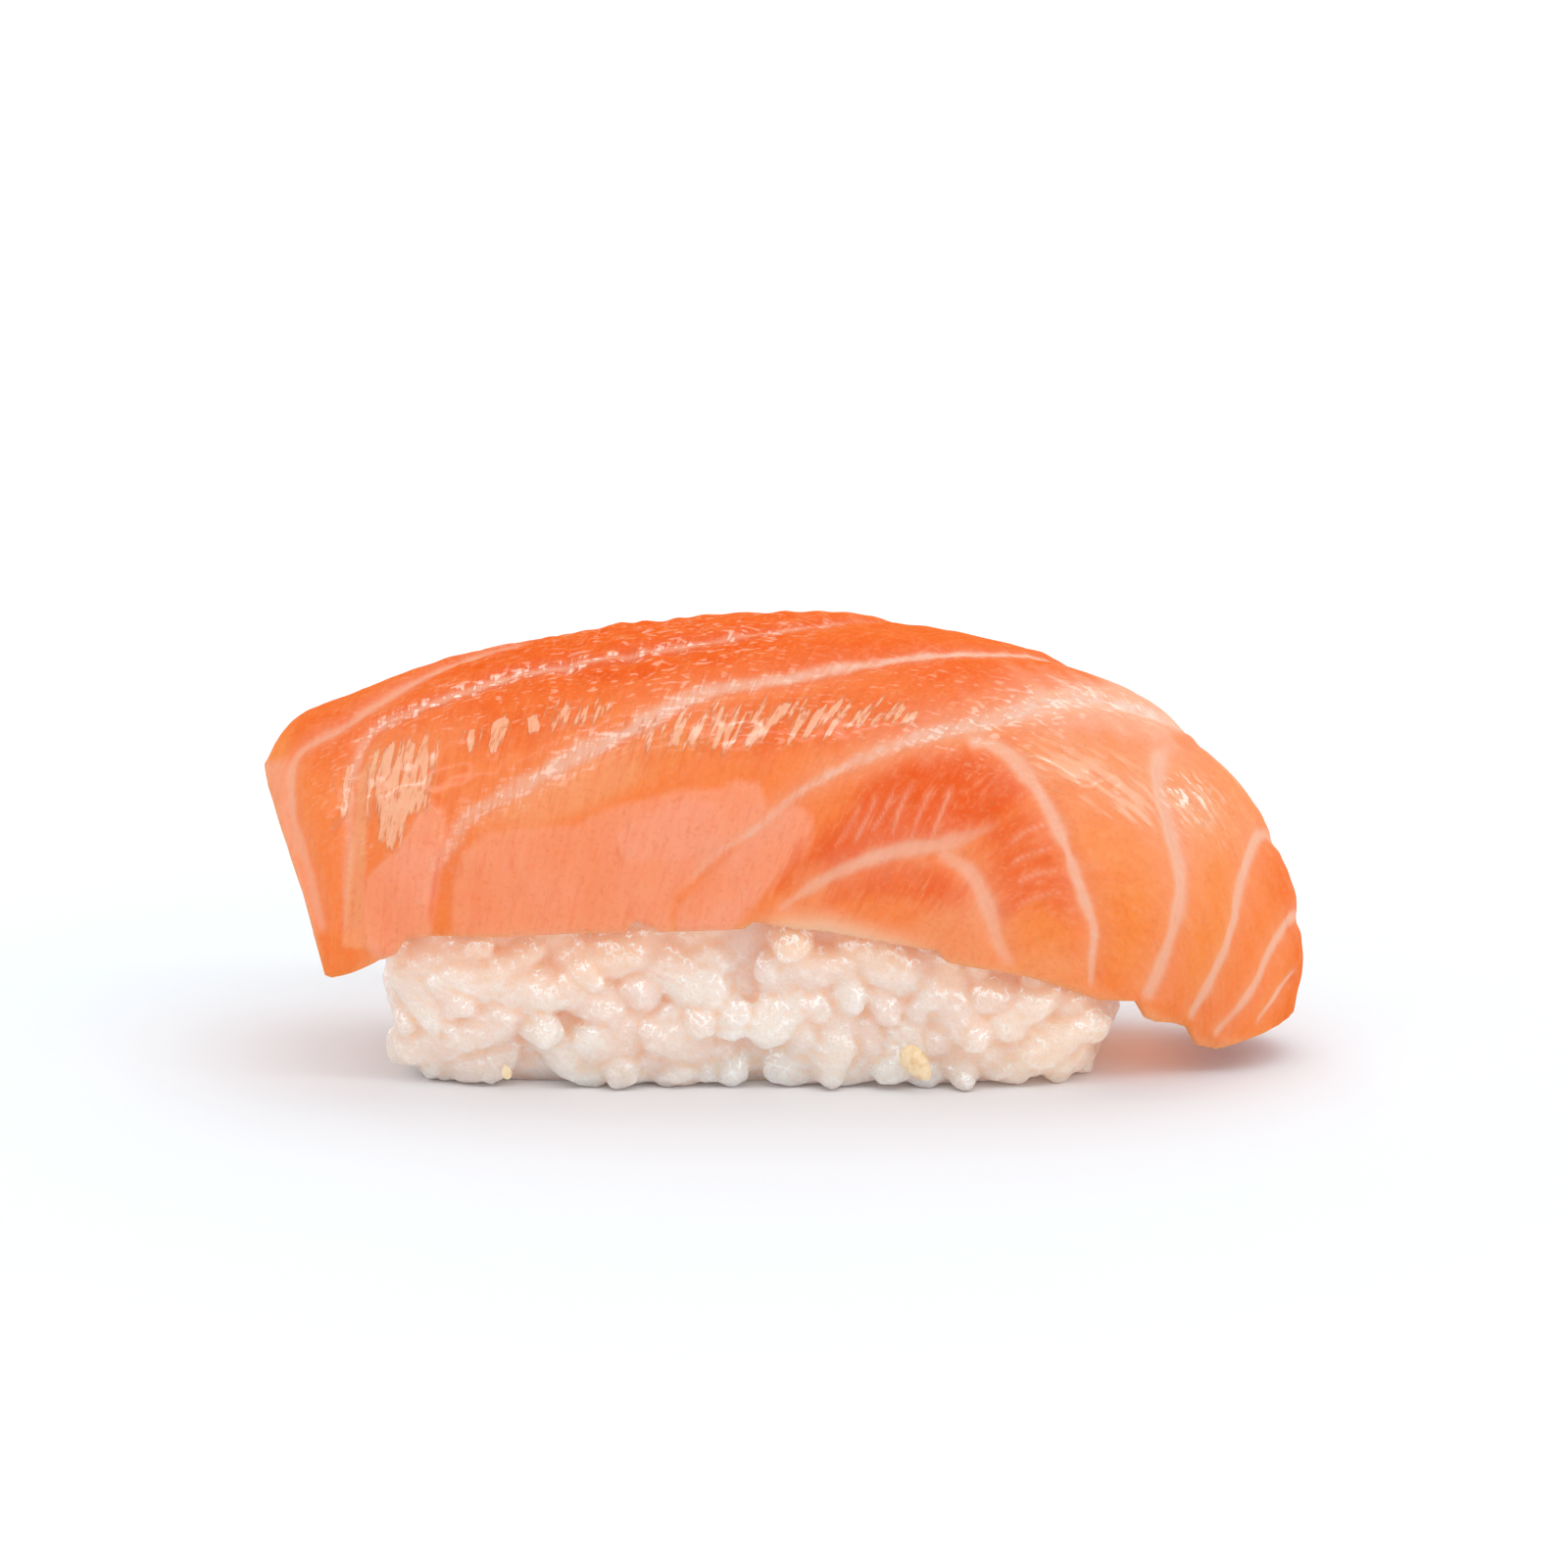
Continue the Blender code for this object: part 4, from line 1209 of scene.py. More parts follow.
    def thickness(self, rows: int, columns: int) -> np.ndarray:
        """How thick the slice is over a grid: thin at the hems, the cut end and the tip.

        Args:
            rows: Steps from the cut end to the tip.
            columns: Steps from the back hem to the front hem.

        Returns:
            The thickness at each point of the grid, in metres.
        """
        across = np.abs(np.linspace(-1.0, 1.0, columns + 1))[None, :] ** 3
        along = np.linspace(0.0, 1.0, rows + 1)[:, None]
        share = 1.0 - (1.0 - self.end_share) * (1.0 - smooth_step(0.0, 0.1, along))
        share = share - (1.0 - self.tip_share) * smooth_step(0.6, 1.0, along)
        return (self.crest_thickness * (1.0 - across) + self.hem_thickness * across) * share

    def route(self, seam: Seam, grid: np.ndarray) -> np.ndarray:
        """A seam's route over the upper face.

        Args:
            seam: The seam.
            grid: The upper face.

        Returns:
            Evenly spaced points along the seam, one a row.
        """
        half = grid.shape[1] // 2
        line = []
        for side, places in ((grid[:, half:], seam.front), (grid[:, : half + 1], seam.back)):
            side = side.reshape(-1, 3)
            for place in places:
                gaps = side[:, ::2] - np.array(place) * MM
                line.append(side[np.argmin((gaps**2).sum(axis=1))])
        lengths = walked(np.array(line))
        return through(lengths, np.array(line), np.arange(0.0, lengths[-1], self.seam_spacing))

    def mark_seams(self, grid: np.ndarray, normals: np.ndarray) -> dict[str, np.ndarray]:
        """Finds how the seams mark each point of the upper face.

        Args:
            grid: The points, one a row.
            normals: Their normals.

        Returns:
            The marks by name, and the relief in metres.
        """
        coarse = self.top_grid(self.rows // 2, self.columns)
        names = ("seam", "fat", "glow", "rough", "white", "glint", "crease")
        marks = {name: np.zeros(len(grid)) for name in names}
        relief = np.zeros(len(grid))
        nearest = np.ones(len(grid))
        for number, seam in enumerate(SEAMS):
            line = self.route(seam, coarse)
            tangents = np.gradient(line, axis=0)
            tree = KDTree(len(line))
            for index, point in enumerate(line):
                tree.insert(point, index)
            tree.balance()
            found = [tree.find(point) for point in grid]
            index = np.array([hit[1] for hit in found])
            gap = np.array([hit[2] for hit in found])
            wander = 1.0 + self.seam_wander * Ripple(100 + number, self.seam_wander_length).at(line)
            width = seam.spread(seam.half_widths, len(line))[index] * MM * wander[index]
            pale = seam.spread(seam.paleness, len(line))[index]
            ends = np.minimum(index, len(line) - 1 - index) * self.seam_spacing
            inside = smooth_step(*self.seam_end_fade, ends)
            band = bell(gap, width) * inside
            # Creases get painted shade and a shallow groove instead of fat.
            if seam.dark:
                raise_to(marks, "crease", seam.dark * band)
                relief -= self.crease_depth * band
                continue
            spread = bell(gap, self.fat_reach * width) * inside
            glints = seam.spread(seam.glints, len(line))[index]
            raise_to(marks, "seam", band)
            raise_to(marks, "fat", pale * spread.clip(0.0, self.fat_plateau) / self.fat_plateau)
            raise_to(marks, "glow", seam.glow * pale * bell(gap, self.glow_reach * width) * inside)
            raise_to(marks, "rough", seam.rough * spread)
            raise_to(marks, "white", seam.white * pale * spread)
            raise_to(marks, "glint", glints * bell(gap, self.glint_reach * width) * inside)
            side = np.einsum("ij,ij->i", np.cross(normals, tangents[index]), grid - line[index])
            tilt = np.clip(side / (self.seam_spacing * 0.5 * MM), -1.0, 1.0)
            fall = np.exp(-gap / self.step_reach) * inside
            relief += seam.step * MM * tilt * smooth_step(0.0, self.step_rise, gap) * fall
            if seam.step:
                nearest = np.minimum(nearest, gap + (1.0 - inside) * self.groove_end * MM)
        relief -= self.groove_depth * (1.0 - smooth_step(0.0, self.groove_half_width, nearest))
        marks["relief"] = relief
        return marks

    def fibres(self, grid: np.ndarray) -> dict[str, np.ndarray]:
        """Where each point lies in the flesh, in mm.

        Args:
            grid: The upper face.

        Returns:
            The place across and along the fibres, and the place from the crest and along it.
        """
        steps = np.linalg.norm(np.diff(grid, axis=1), axis=2) / MM
        across = np.pad(np.cumsum(steps, axis=1), ((0, 0), (1, 0)))
        across = across - across[:, [grid.shape[1] // 2]]
        side = across * self.side_drift
        across = np.abs(across)
        x = grid[..., 0] / MM
        stations, leans = zip(*self.fibre_leans)
        lean = np.radians(np.interp(x, stations, leans))
        over = x * np.sin(lean) + across * np.cos(lean)
        along = x * np.cos(lean) - across * np.sin(lean)
        crest = walked(grid[:, grid.shape[1] // 2]) / MM
        run = np.repeat(crest[:, None], grid.shape[1], axis=1)
        return {
            "fibre": np.stack([over, along, side], axis=2).reshape(-1, 3),
            "crest": np.stack([across, run, side], axis=2).reshape(-1, 3),
        }

    def paint(
        self, points: np.ndarray, normals: np.ndarray, marks: dict[str, np.ndarray]
    ) -> dict[str, np.ndarray]:
        """Works out the tones of the flesh, with painted shade on the crown and at the right end.

        Args:
            points: The upper face's points.
            normals: Their normals.
            marks: What the seams leave on them.

        Returns:
            Each tone's strength at each point.
        """
        tones = {tone: np.zeros(len(points)) for tone in Tone}
        for spot in ZONES:
            raise_to(tones, spot.tone, spot.at(points))
        for patch in PATCHES:
            shape = patch.at(points)
            raise_to(tones, patch.tone, patch.strength * shape)
            marks["relief"] += patch.swell * MM * shape
        # Painted shade: deeper red where the face turns up to the crown and out to the right end; the crown
        # loses its pale tone and its coat.
        crown = smooth_step(*self.crown_slopes, normals[:, 2])
        end = smooth_step(*self.end_slopes, normals[:, 0])
        raise_to(tones, Tone.DEEP, self.crown_shade * crown)
        raise_to(tones, Tone.DEEP, self.end_tone * end)
        raise_to(tones, Tone.ROUGH, self.end_tone * end)
        tones[Tone.PALE] *= 1.0 - crown
        tones[Tone.WET] *= 1.0 - crown
        raise_to(tones, Tone.ROUGH, marks["rough"])
        raise_to(tones, Tone.GLINT, marks["glint"])
        painted = {tone.value: values for tone, values in tones.items()}
        painted |= {name: marks[name] for name in ("seam", "fat", "glow", "white", "crease")}
        x = points[:, 0] / MM
        front = points[:, 1] < 0
        stations, heights = zip(*self.front_hem)
        above = points[:, 2] / MM - np.interp(x, stations, heights)
        here = smooth_step(*self.clear_from, x) * (1.0 - smooth_step(*self.clear_to, x)) * front
        painted["clear"] = here * (1.0 - smooth_step(*self.clear_heights, above))
        # Paler lip along the front hem, partly its own colour and partly painted light on the shaded rim.
        edge = (1.0 - smooth_step(*self.edge_heights, above)) * front * smooth_step(*self.edge_from, x)
        raise_to(painted, "pale", self.edge_paleness * edge)
        return painted

    def edge_loop(self, rows: int, columns: int) -> list[int]:
        """The numbers of a grid's edge points, in order round it.

        Args:
            rows: Steps down the grid.
            columns: Steps across it.

        Returns:
            The numbers.
        """
        wide = columns + 1
        loop = list(range(wide))
        loop += [row * wide + columns for row in range(1, rows + 1)]
        loop += [rows * wide + column for column in range(columns - 1, -1, -1)]
        return loop + [row * wide for row in range(rows - 1, 0, -1)]

    def grid_faces(self, rows: int, columns: int) -> list[tuple[int, ...]]:
        """The faces of a grid of points.

        Args:
            rows: Steps down the grid.
            columns: Steps across it.

        Returns:
            The faces, as numbers of points.
        """
        wide = columns + 1
        corners = [row * wide + column for row in range(rows) for column in range(columns)]
        return [(a, a + 1, a + wide + 1, a + wide) for a in corners]

    def faces(self) -> list[tuple[int, ...]]:
        """The faces of the upper grid, the rim rings below it and the coarser lower grid."""
        upper = self.edge_loop(self.rows, self.columns)
        rows, columns = self.rows // self.under_share, self.columns // self.under_share
        start = (self.rows + 1) * (self.columns + 1)
        faces = self.grid_faces(self.rows, self.columns)
        for _ in range(self.rim_rings):
            lower = list(range(start, start + len(upper)))
            start += len(upper)
            for a, b, c, d in zip(upper, upper[1:] + upper[:1], lower[1:] + lower[:1], lower):
                faces.append((b, a, d, c))
            upper = lower
        lower = [start + index for index in self.edge_loop(rows, columns)]
        half = self.under_share // 2
        for number, point in enumerate(lower):
            after = lower[(number + 1) % len(lower)]
            first = number * self.under_share
            for step in range(self.under_share):
                a, b = upper[first + step], upper[(first + step + 1) % len(upper)]
                faces.append((b, a, point if step < half else after))
            faces.append((upper[first + half], point, after))
        return faces + [tuple(start + i for i in reversed(face)) for face in self.grid_faces(rows, columns)]

    def rim(self, top: np.ndarray, under: np.ndarray) -> np.ndarray:
        """The rounded rim's points, ring by ring, between the upper and the lower face.

        Args:
            top: The upper face's grid.
            under: The lower face's grid.

        Returns:
            The points, one a row.
        """
        loop = self.edge_loop(self.rows, self.columns)
        edges = [grid.reshape(-1, 3)[loop] for grid in (top, under)]
        inner = np.concatenate([top[1, :], top[1:, -2], top[-2, -2::-1], top[-2:0:-1, 1]])
        outward = edges[0] - inner
        outward /= np.linalg.norm(outward, axis=1, keepdims=True) + TINY
        rings = []
        for ring in range(1, self.rim_rings + 1):
            share = ring / (self.rim_rings + 1)
            swell = self.rim_swell * math.sin(math.pi * share)
            rings.append(edges[0] * (1.0 - share) + edges[1] * share + outward * swell)
        return np.concatenate(rings)

    def build(self, material: bpy.types.Material) -> bpy.types.Object:
        """Builds the slice and stores what its finish reads.

        Args:
            material: Its finish.

        Returns:
            The slice.
        """
        grid = self.top_grid(self.rows, self.columns)
        normals = self.normals(grid)
        under = grid - normals * self.thickness(self.rows, self.columns)[..., None]
        flat = grid.reshape(-1, 3)
        flat_normals = normals.reshape(-1, 3)
        marks = self.mark_seams(flat, flat_normals)
        painted = self.paint(flat, flat_normals, marks)
        relief = marks["relief"] + self.wave_depth * self.waves.at(flat)
        bumpy = smooth_step(*self.bumpy_slopes, flat_normals[:, 2])
        bumpy *= smooth_step(self.bumpy_half_length, 0.0, np.abs(flat[:, 0] - self.bumpy_middle))
        relief += (self.bump_depths[0] + self.bump_depths[1] * bumpy) * MM * self.bumps.at(flat)
        top = grid + normals * relief.reshape(grid.shape[:2])[..., None]
        coarse = under[:: self.under_share, :: self.under_share].reshape(-1, 3)
        points = np.concatenate([top.reshape(-1, 3), self.rim(top, under), coarse])
        piece = make_piece(self.name, points, self.faces(), material)
        loop = self.edge_loop(self.rows, self.columns)
        for name, values in (painted | self.fibres(grid)).items():
            rim = [values[loop]] * self.rim_rings
            plain = np.zeros((len(coarse), *values.shape[1:])) if values.ndim == 1 else coarse / MM
            store(piece, name, np.concatenate([values, *rim, plain]))
        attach(piece, "root")
        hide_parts(self.node)
        return piece


@dataclass(frozen=True)
class Grain:
    """One grain's lie: its middle, the way out, its length's direction, its size and its clearance."""

    place: Vector
    outward: Vector
    lie: Vector
    size: float
    clearance: float


@dataclass(frozen=True)
class RiceBlock:
    """The pressed rice: a core fitted under the slice, and the grains that show."""

    name: str = "rice"
    node: str = "rice_block"
    slot: str = "rice"
    left: float = -28.2 * MM
    right: float = 23.4 * MM
    half_width: float = 12.4 * MM
    plan_power: float = 7.0
    foot_inset: float = 1.6 * MM
    foot_height: float = 7.0 * MM
    edge: float = 1.3 * MM
    axis_height: float = 11.0 * MM
    axis_share: float = 0.6
    core_depth: float = 1.2 * MM
    core_levels: tuple[float, ...] = (0.0, 1.2, 3.0, 6.0, 9.0, 12.0, 15.0, 18.0, 22.0, 27.0)
    core_cap_shares: tuple[float, ...] = (0.7, 0.35)
    core_sides: int = 64
    clearance: float = 0.35 * MM
    rim_steps: int = 720
    foot_arch: tuple[float, float, float] = (-17.5, 5.0, 2.6)
    grain_length: float = 6.6 * MM
    grain_width: float = 3.7 * MM
    grain_thickness: float = 3.1 * MM
    grain_spread: float = 0.14
    grain_lean: float = 38.0
    grain_tilt: float = 9.0
    grain_pitch: float = 3.3 * MM
    grain_sink: float = 1.15 * MM
    grain_plumpness: float = 0.7
    grain_seed: int = 21
    grain_tries: int = 6000
    grain_lowest: float = 0.8 * MM
    tucked_under: float = 2.4 * MM
    end_reach_in: float = 2.5 * MM
    end_grain_top: float = 15.0 * MM
    press_step: float = 0.2 * MM
    press_steps: int = 14
    fill_seed: int = 5
    fill_pitch: float = 2.1 * MM
    fill_size: tuple[float, float] = (0.58, 0.85)
    fill_sink_at: tuple[float, float] = (-12.0, -4.0)
    fill_sinks: tuple[float, float] = (1.1, 1.35)
    fill_lowest: float = 0.6 * MM
    foot_pitch: float = 2.8 * MM
    foot_top: float = 1.3 * MM
    fill_stand: float = 0.8
    fill_clearance: float = 0.10 * MM
    rings: int = 14
    sides: int = 16
    voxel: float = 0.18 * MM
    most_triangles: int = 185000
    soften_share: float = 0.5
    soften_steps: int = 4
    shape_seed: int = 1000
    tone_seed: int = 77
    grain_bend: float = 0.5
    grain_bluntness: float = 0.12
    grain_ripple_depth: float = 0.30 * MM
    grain_ripple_length: float = 3.0 * MM
    turn_step: float = 0.01
    skin_depth: float = 0.05 * MM
    skin_ripple: Ripple = Ripple(8, 1.1 * MM)
    fold_rounds: int = 3
    crease_fold: float = 0.016 * MM
    ridge_folds: Place = (0.001 * MM, 0.012 * MM)
    ridge_slopes: Place = (-0.2, 0.5)
    ridge_low: float = 0.2
    # Painted orange light from the fish: its reach in mm from the slice, where it reaches further, and its
    # share towards the tip, where the rice lies in the slice's shade.
    fish_light_depth: float = 3.4
    fish_light_spots: tuple[tuple[float, float, float], ...] = ((-16.0, 8.0, 3.0), (5.0, 6.0, 1.2))
    tip_fish_light: float = 0.42
    tip_fish_light_from: Place = (10.0, 19.0)

    def point(self, turn: float, height: float, depth: float = 0.0) -> Vector:
        """A point on the side of the block.

        Args:
            turn: The angle round the upright axis from +X, in radians.
            height: How high above the surface that it stands on.
            depth: How far under the block's side.

        Returns:
            The point.
        """
        foot = self.foot_inset * (1.0 - float(smooth_step(0.0, self.foot_height, np.float64(height))))
        edge = self.edge * max(0.0, 1.0 - height / self.edge) ** 2
        inset = foot + edge + depth
        power = 2 / self.plan_power
        half_length = (self.right - self.left) / 2 - inset
        x = (self.left + self.right) / 2 + half_length * signed_power(math.cos(turn), power)
        y = (self.half_width - inset) * signed_power(math.sin(turn), power)
        return Vector((x, y, height))

    def under_slice(self, point: Vector, tree: BVHTree) -> Vector:
        """The point, drawn in towards the block's axis where the slice would be in its way.

        Args:
            point: The point.
            tree: The slice.

        Returns:
            The point, clear of the slice.
        """
        x = min(max(point.x, self.left * self.axis_share), self.right * self.axis_share)
        axis = Vector((x, 0.0, self.axis_height))
        way = point - axis
        hit, _, _, distance = tree.ray_cast(axis, way.normalized())
        if hit is not None and way.length > distance - self.clearance:
            return axis + way.normalized() * (distance - self.clearance)
        return point

    def core(self, tree: BVHTree) -> tuple[list[Vector], list[tuple[int, ...]]]:
        """The core's points and faces, fitted up to the underside of the slice.

        Args:
            tree: The slice.

        Returns:
            The points and the faces.
        """
        count = self.core_sides
        turns = [2 * math.pi * side / count for side in range(count)]
        rings = [[self.point(t, level * MM, self.core_depth) for t in turns] for level in self.core_levels]
        top = rings[-1]
        middle = sum(top, Vector()) / count
        for share in self.core_cap_shares:
            rings.append([middle + (point - middle) * share for point in top])
        rings = [rings[0]] + [[self.under_slice(p, tree) for p in ring] for ring in rings[1:]]
        points = [point for ring in rings for point in ring]
        faces = [tuple(range(count - 1, -1, -1)), tuple(range(len(points) - count, len(points)))]
        return points, faces + tube_faces(len(rings), count)

    def in_arch(self, place: Vector) -> bool:
        """True for a place inside the low arch in the front foot.

        Args:
            place: The place.

        Returns:
            Whether it lies in the arch.
        """
        middle, half_width, height = self.foot_arch
        away = (place.x / MM - middle) / half_width
        return place.y < 0.0 and place.z < height * MM * (1.0 - away**2)

    def shows(self, place: Vector, slice_: SalmonSlice) -> bool:
        """True for a grain's place that the slice leaves in view, or just under its hem.

        Args:
            place: The place.
            slice_: The slice.

        Returns:
            Whether the place shows.
        """
        if self.in_arch(place):
            return False
        near_end = place.x < self.left + self.end_reach_in or place.x > self.right - self.end_reach_in
        if near_end and place.z < self.end_grain_top:
            return True
        hem = np.array(slice_.front_hem if place.y < 0 else slice_.back_hem) * MM
        return place.z < float(np.interp(place.x, hem[:, 0], hem[:, 1])) + self.tucked_under

    @functools.cache
    def rim(self) -> tuple[np.ndarray, np.ndarray]:
        """How far along the block's rim each of many angles lies, and the angles."""
        turns = np.linspace(0.0, 2 * math.pi, self.rim_steps + 1)
        return walked(np.array([self.point(turn, self.axis_height) for turn in turns])), turns

    def turn(self, draw: random.Random) -> float:
        """An angle drawn evenly along the block's rim."""
        lengths, turns = self.rim()
        return float(np.interp(draw.uniform(0.0, lengths[-1]), lengths, turns))

    def level_at(self, turn: float, height: float, step: float) -> Vector:
        """The level direction along the rim at an angle and a height."""
        return (self.point(turn + step, height) - self.point(turn - step, height)).normalized()

    def grains(self, slice_: SalmonSlice) -> list[Grain]:
        """Where the grains lie: a seeded even scatter over the sides and ends of the block.

        Args:
            slice_: The slice, which hides what lies under it.

        Returns:
            The whole grains, then the short ones between them.
        """
        draw = random.Random(self.grain_seed)
        taken: list[Vector] = []
        found: list[Grain] = []
        for _ in range(self.grain_tries):
            turn = self.turn(draw)
            height = draw.uniform(self.grain_lowest, self.end_grain_top)
            lean = math.radians(draw.gauss(0.0, self.grain_lean))
            tilt = math.radians(draw.gauss(0.0, self.grain_tilt))
            size = 1.0 + self.grain_spread * draw.uniform(-1.0, 1.0)
            place = self.point(turn, height)
            if not self.shows(place, slice_):
                continue
            if any((place - other).length < self.grain_pitch for other in taken):
                continue
            taken.append(place)
            level = self.level_at(turn, height, math.pi / self.rim_steps)
            outward = level.cross(Vector((0.0, 0.0, 1.0)))
            turned = Matrix.Rotation(lean, 3, outward) @ level
            lie = (turned + outward * math.sin(tilt)).normalized()
            found.append(Grain(place - outward * self.grain_sink, outward, lie, size, self.clearance))
        return found + self.fill(slice_, found)

    def fill(self, slice_: SalmonSlice, grains: list[Grain]) -> list[Grain]:
        """Short and broken grains at all angles, sunk between the whole ones and along the foot.

        Args:
            slice_: The slice, which hides what lies under it.
            grains: The whole grains.

        Returns:
            The short grains.
        """
        taken = [grain.place + grain.outward * self.grain_sink for grain in grains]
        found = self.scatter(slice_, taken, self.fill_pitch, self.end_grain_top, self.fill_seed)
        return found + self.scatter(slice_, [], self.foot_pitch, self.foot_top, self.fill_seed + 1)

    def scatter(
        self, slice_: SalmonSlice, taken: list[Vector], pitch: float, highest: float, seed: int
    ) -> list[Grain]:
        """Scatters short grains over the sides of the block.

        Args:
            slice_: The slice, which hides what lies under it.
            taken: The places that are taken.
            pitch: How far apart the places lie at least.
            highest: How high the highest place is.
            seed: What seeds the scatter.

        Returns:
            The grains that it places.
        """
        draw = random.Random(seed)
        found: list[Grain] = []
        for _ in range(self.grain_tries):
            turn = self.turn(draw)
            place = self.point(turn, draw.uniform(self.fill_lowest, highest))
            size = draw.uniform(*self.fill_size)
            x, y, z = (draw.gauss(0, 1) for _ in range(3))
            lie = Vector((x, y, z + self.fill_stand)).normalized()
            if not self.shows(place, slice_):
                continue
            if any((place - other).length < pitch for other in taken):
                continue
            taken.append(place)
            level = self.level_at(turn, place.z, self.turn_step)
            outward = level.cross(Vector((0.0, 0.0, 1.0)))
            sink = float(np.interp(place.x / MM, self.fill_sink_at, self.fill_sinks)) * MM
            found.append(Grain(place - outward * sink, outward, lie, size, self.fill_clearance))
        return found

    def grain_mesh(self, grain: Grain, number: int) -> tuple[np.ndarray, list[tuple[int, ...]]]:
        """One plump grain in its place, with a slight bend and an uneven skin.

        Args:
            grain: Its lie.
            number: Its number, which seeds its shape.

        Returns:
            Its points and faces.
        """
        draw = random.Random(self.shape_seed + number)
        length = self.grain_length * grain.size
        width = self.grain_width * (0.4 + 0.6 * grain.size)
        thick = self.grain_thickness * (0.3 + 0.7 * min(grain.size, 1.0))
        bend = draw.uniform(-self.grain_bend, self.grain_bend) * MM
        blunt = draw.uniform(-self.grain_bluntness, self.grain_bluntness)
        points = [(-length / 2, 0.0, 0.0)]
        for ring in range(1, self.rings + 1):
            turn = math.pi * ring / (self.rings + 1)
            girth = math.sin(turn) ** self.grain_plumpness * (1.0 + blunt * math.cos(turn))
            along = -length / 2 * math.cos(turn)
            for side in range(self.sides):
                around = 2 * math.pi * side / self.sides
                y = width / 2 * girth * math.cos(around) + bend * (2 * along / length) ** 2
                points.append((along, y, thick / 2 * girth * math.sin(around)))
        points.append((length / 2, 0.0, 0.0))
        shape = np.array(points)
        ripple = Ripple(number, self.grain_ripple_length).at(shape)[:, None]
        shape += self.grain_ripple_depth * ripple * shape / (0.5 * length)
        across = grain.outward.cross(grain.lie).normalized()
        up = grain.lie.cross(across).normalized()
        turned = shape @ np.array([grain.lie, across, up])
        faces = tube_faces(self.rings, self.sides, 1)
        tail = len(points) - 1
        last = 1 + (self.rings - 1) * self.sides
        for side in range(self.sides):
            after = (side + 1) % self.sides
            faces.append((0, 1 + after, 1 + side))
            faces.append((tail, last + side, last + after))
        return turned + np.array(grain.place), faces

    def pressed(
        self, points: np.ndarray, faces: list[tuple[int, ...]], grain: Grain, tree: BVHTree
    ) -> np.ndarray | None:
        """Presses a grain into the block until it clears the slice and the surface below.

        Args:
            points: The grain's points.
            faces: Its faces.
            grain: Its lie.
            tree: The slice.

        Returns:
            The grain's points, or None where it can't clear.
        """
        for _ in range(self.press_steps):
            corners = [Vector(point) for point in points]
            near = min(tree.find_nearest(corner)[3] for corner in corners[::3])
            crosses = BVHTree.FromPolygons(corners, faces).overlap(tree)
            lowest = float(points[:, 2].min())
            if lowest < 0.0:
                points = points + np.array([0.0, 0.0, -lowest])
            elif crosses or near < grain.clearance:
                points = points - np.array(grain.outward) * self.press_step
            else:
                return points
        return None

    def melt(self, piece: bpy.types.Object, grains: list[bpy.types.Object]) -> None:
        """Melts the grains into the core as one skin and softens the joins.

        Args:
            piece: The core, which becomes the whole.
            grains: The grains, which are removed.
        """
        group = bpy.data.collections.new("grains")
        bpy.context.scene.collection.children.link(group)
        for grain in grains:
            bpy.context.scene.collection.objects.unlink(grain)
            group.objects.link(grain)
        union = piece.modifiers.new("fuse", "BOOLEAN")
        union.operation = "UNION"
        union.operand_type = "COLLECTION"
        union.collection = group
        union.solver = "MANIFOLD"
        remesh = piece.modifiers.new("melt", "REMESH")
        remesh.mode = "VOXEL"
        remesh.voxel_size = self.voxel
        soften = piece.modifiers.new("soften", "SMOOTH")
        soften.factor = self.soften_share
        soften.iterations = self.soften_steps
        thin = piece.modifiers.new("thin", "DECIMATE")
        shown = bpy.context.evaluated_depsgraph_get()
        count = len(piece.evaluated_get(shown).data.polygons)
        LOG.info("rice before thinning: %d faces", count)
        thin.ratio = min(1.0, self.most_triangles / (2 * count))
        shown = bpy.context.evaluated_depsgraph_get()
        melted = bpy.data.meshes.new_from_object(piece.evaluated_get(shown))
        material = piece.data.materials[0]
        piece.modifiers.clear()
        for grain in grains:
            bpy.data.objects.remove(grain)
        bpy.data.collections.remove(group)
        piece.data = melted
        melted.materials.clear()
        melted.materials.append(material)
        melted.shade_smooth()

    def folds(self, piece: bpy.types.Object, points: np.ndarray) -> np.ndarray:
        """How the skin folds at each point, in metres: over 0 in creases and under 0 on backs.

        Args:
            piece: The rice.
            points: Its points, one a row.

        Returns:
            One fold a point.
        """
        edges = np.empty(len(piece.data.edges) * 2, dtype=np.int32)
        piece.data.edges.foreach_get("vertices", edges)
        edges = edges.reshape(-1, 2)
        normals = normals_of(piece)
        share = np.bincount(edges.ravel(), minlength=len(points)).clip(1)
        values = np.zeros(len(points))
        for column in range(3):
            places = points[:, column]
            values += (sum_around(edges, places) / share - places) * normals[:, column]
        for _ in range(self.fold_rounds):
            values = 0.5 * values + 0.5 * sum_around(edges, values) / share
        return values

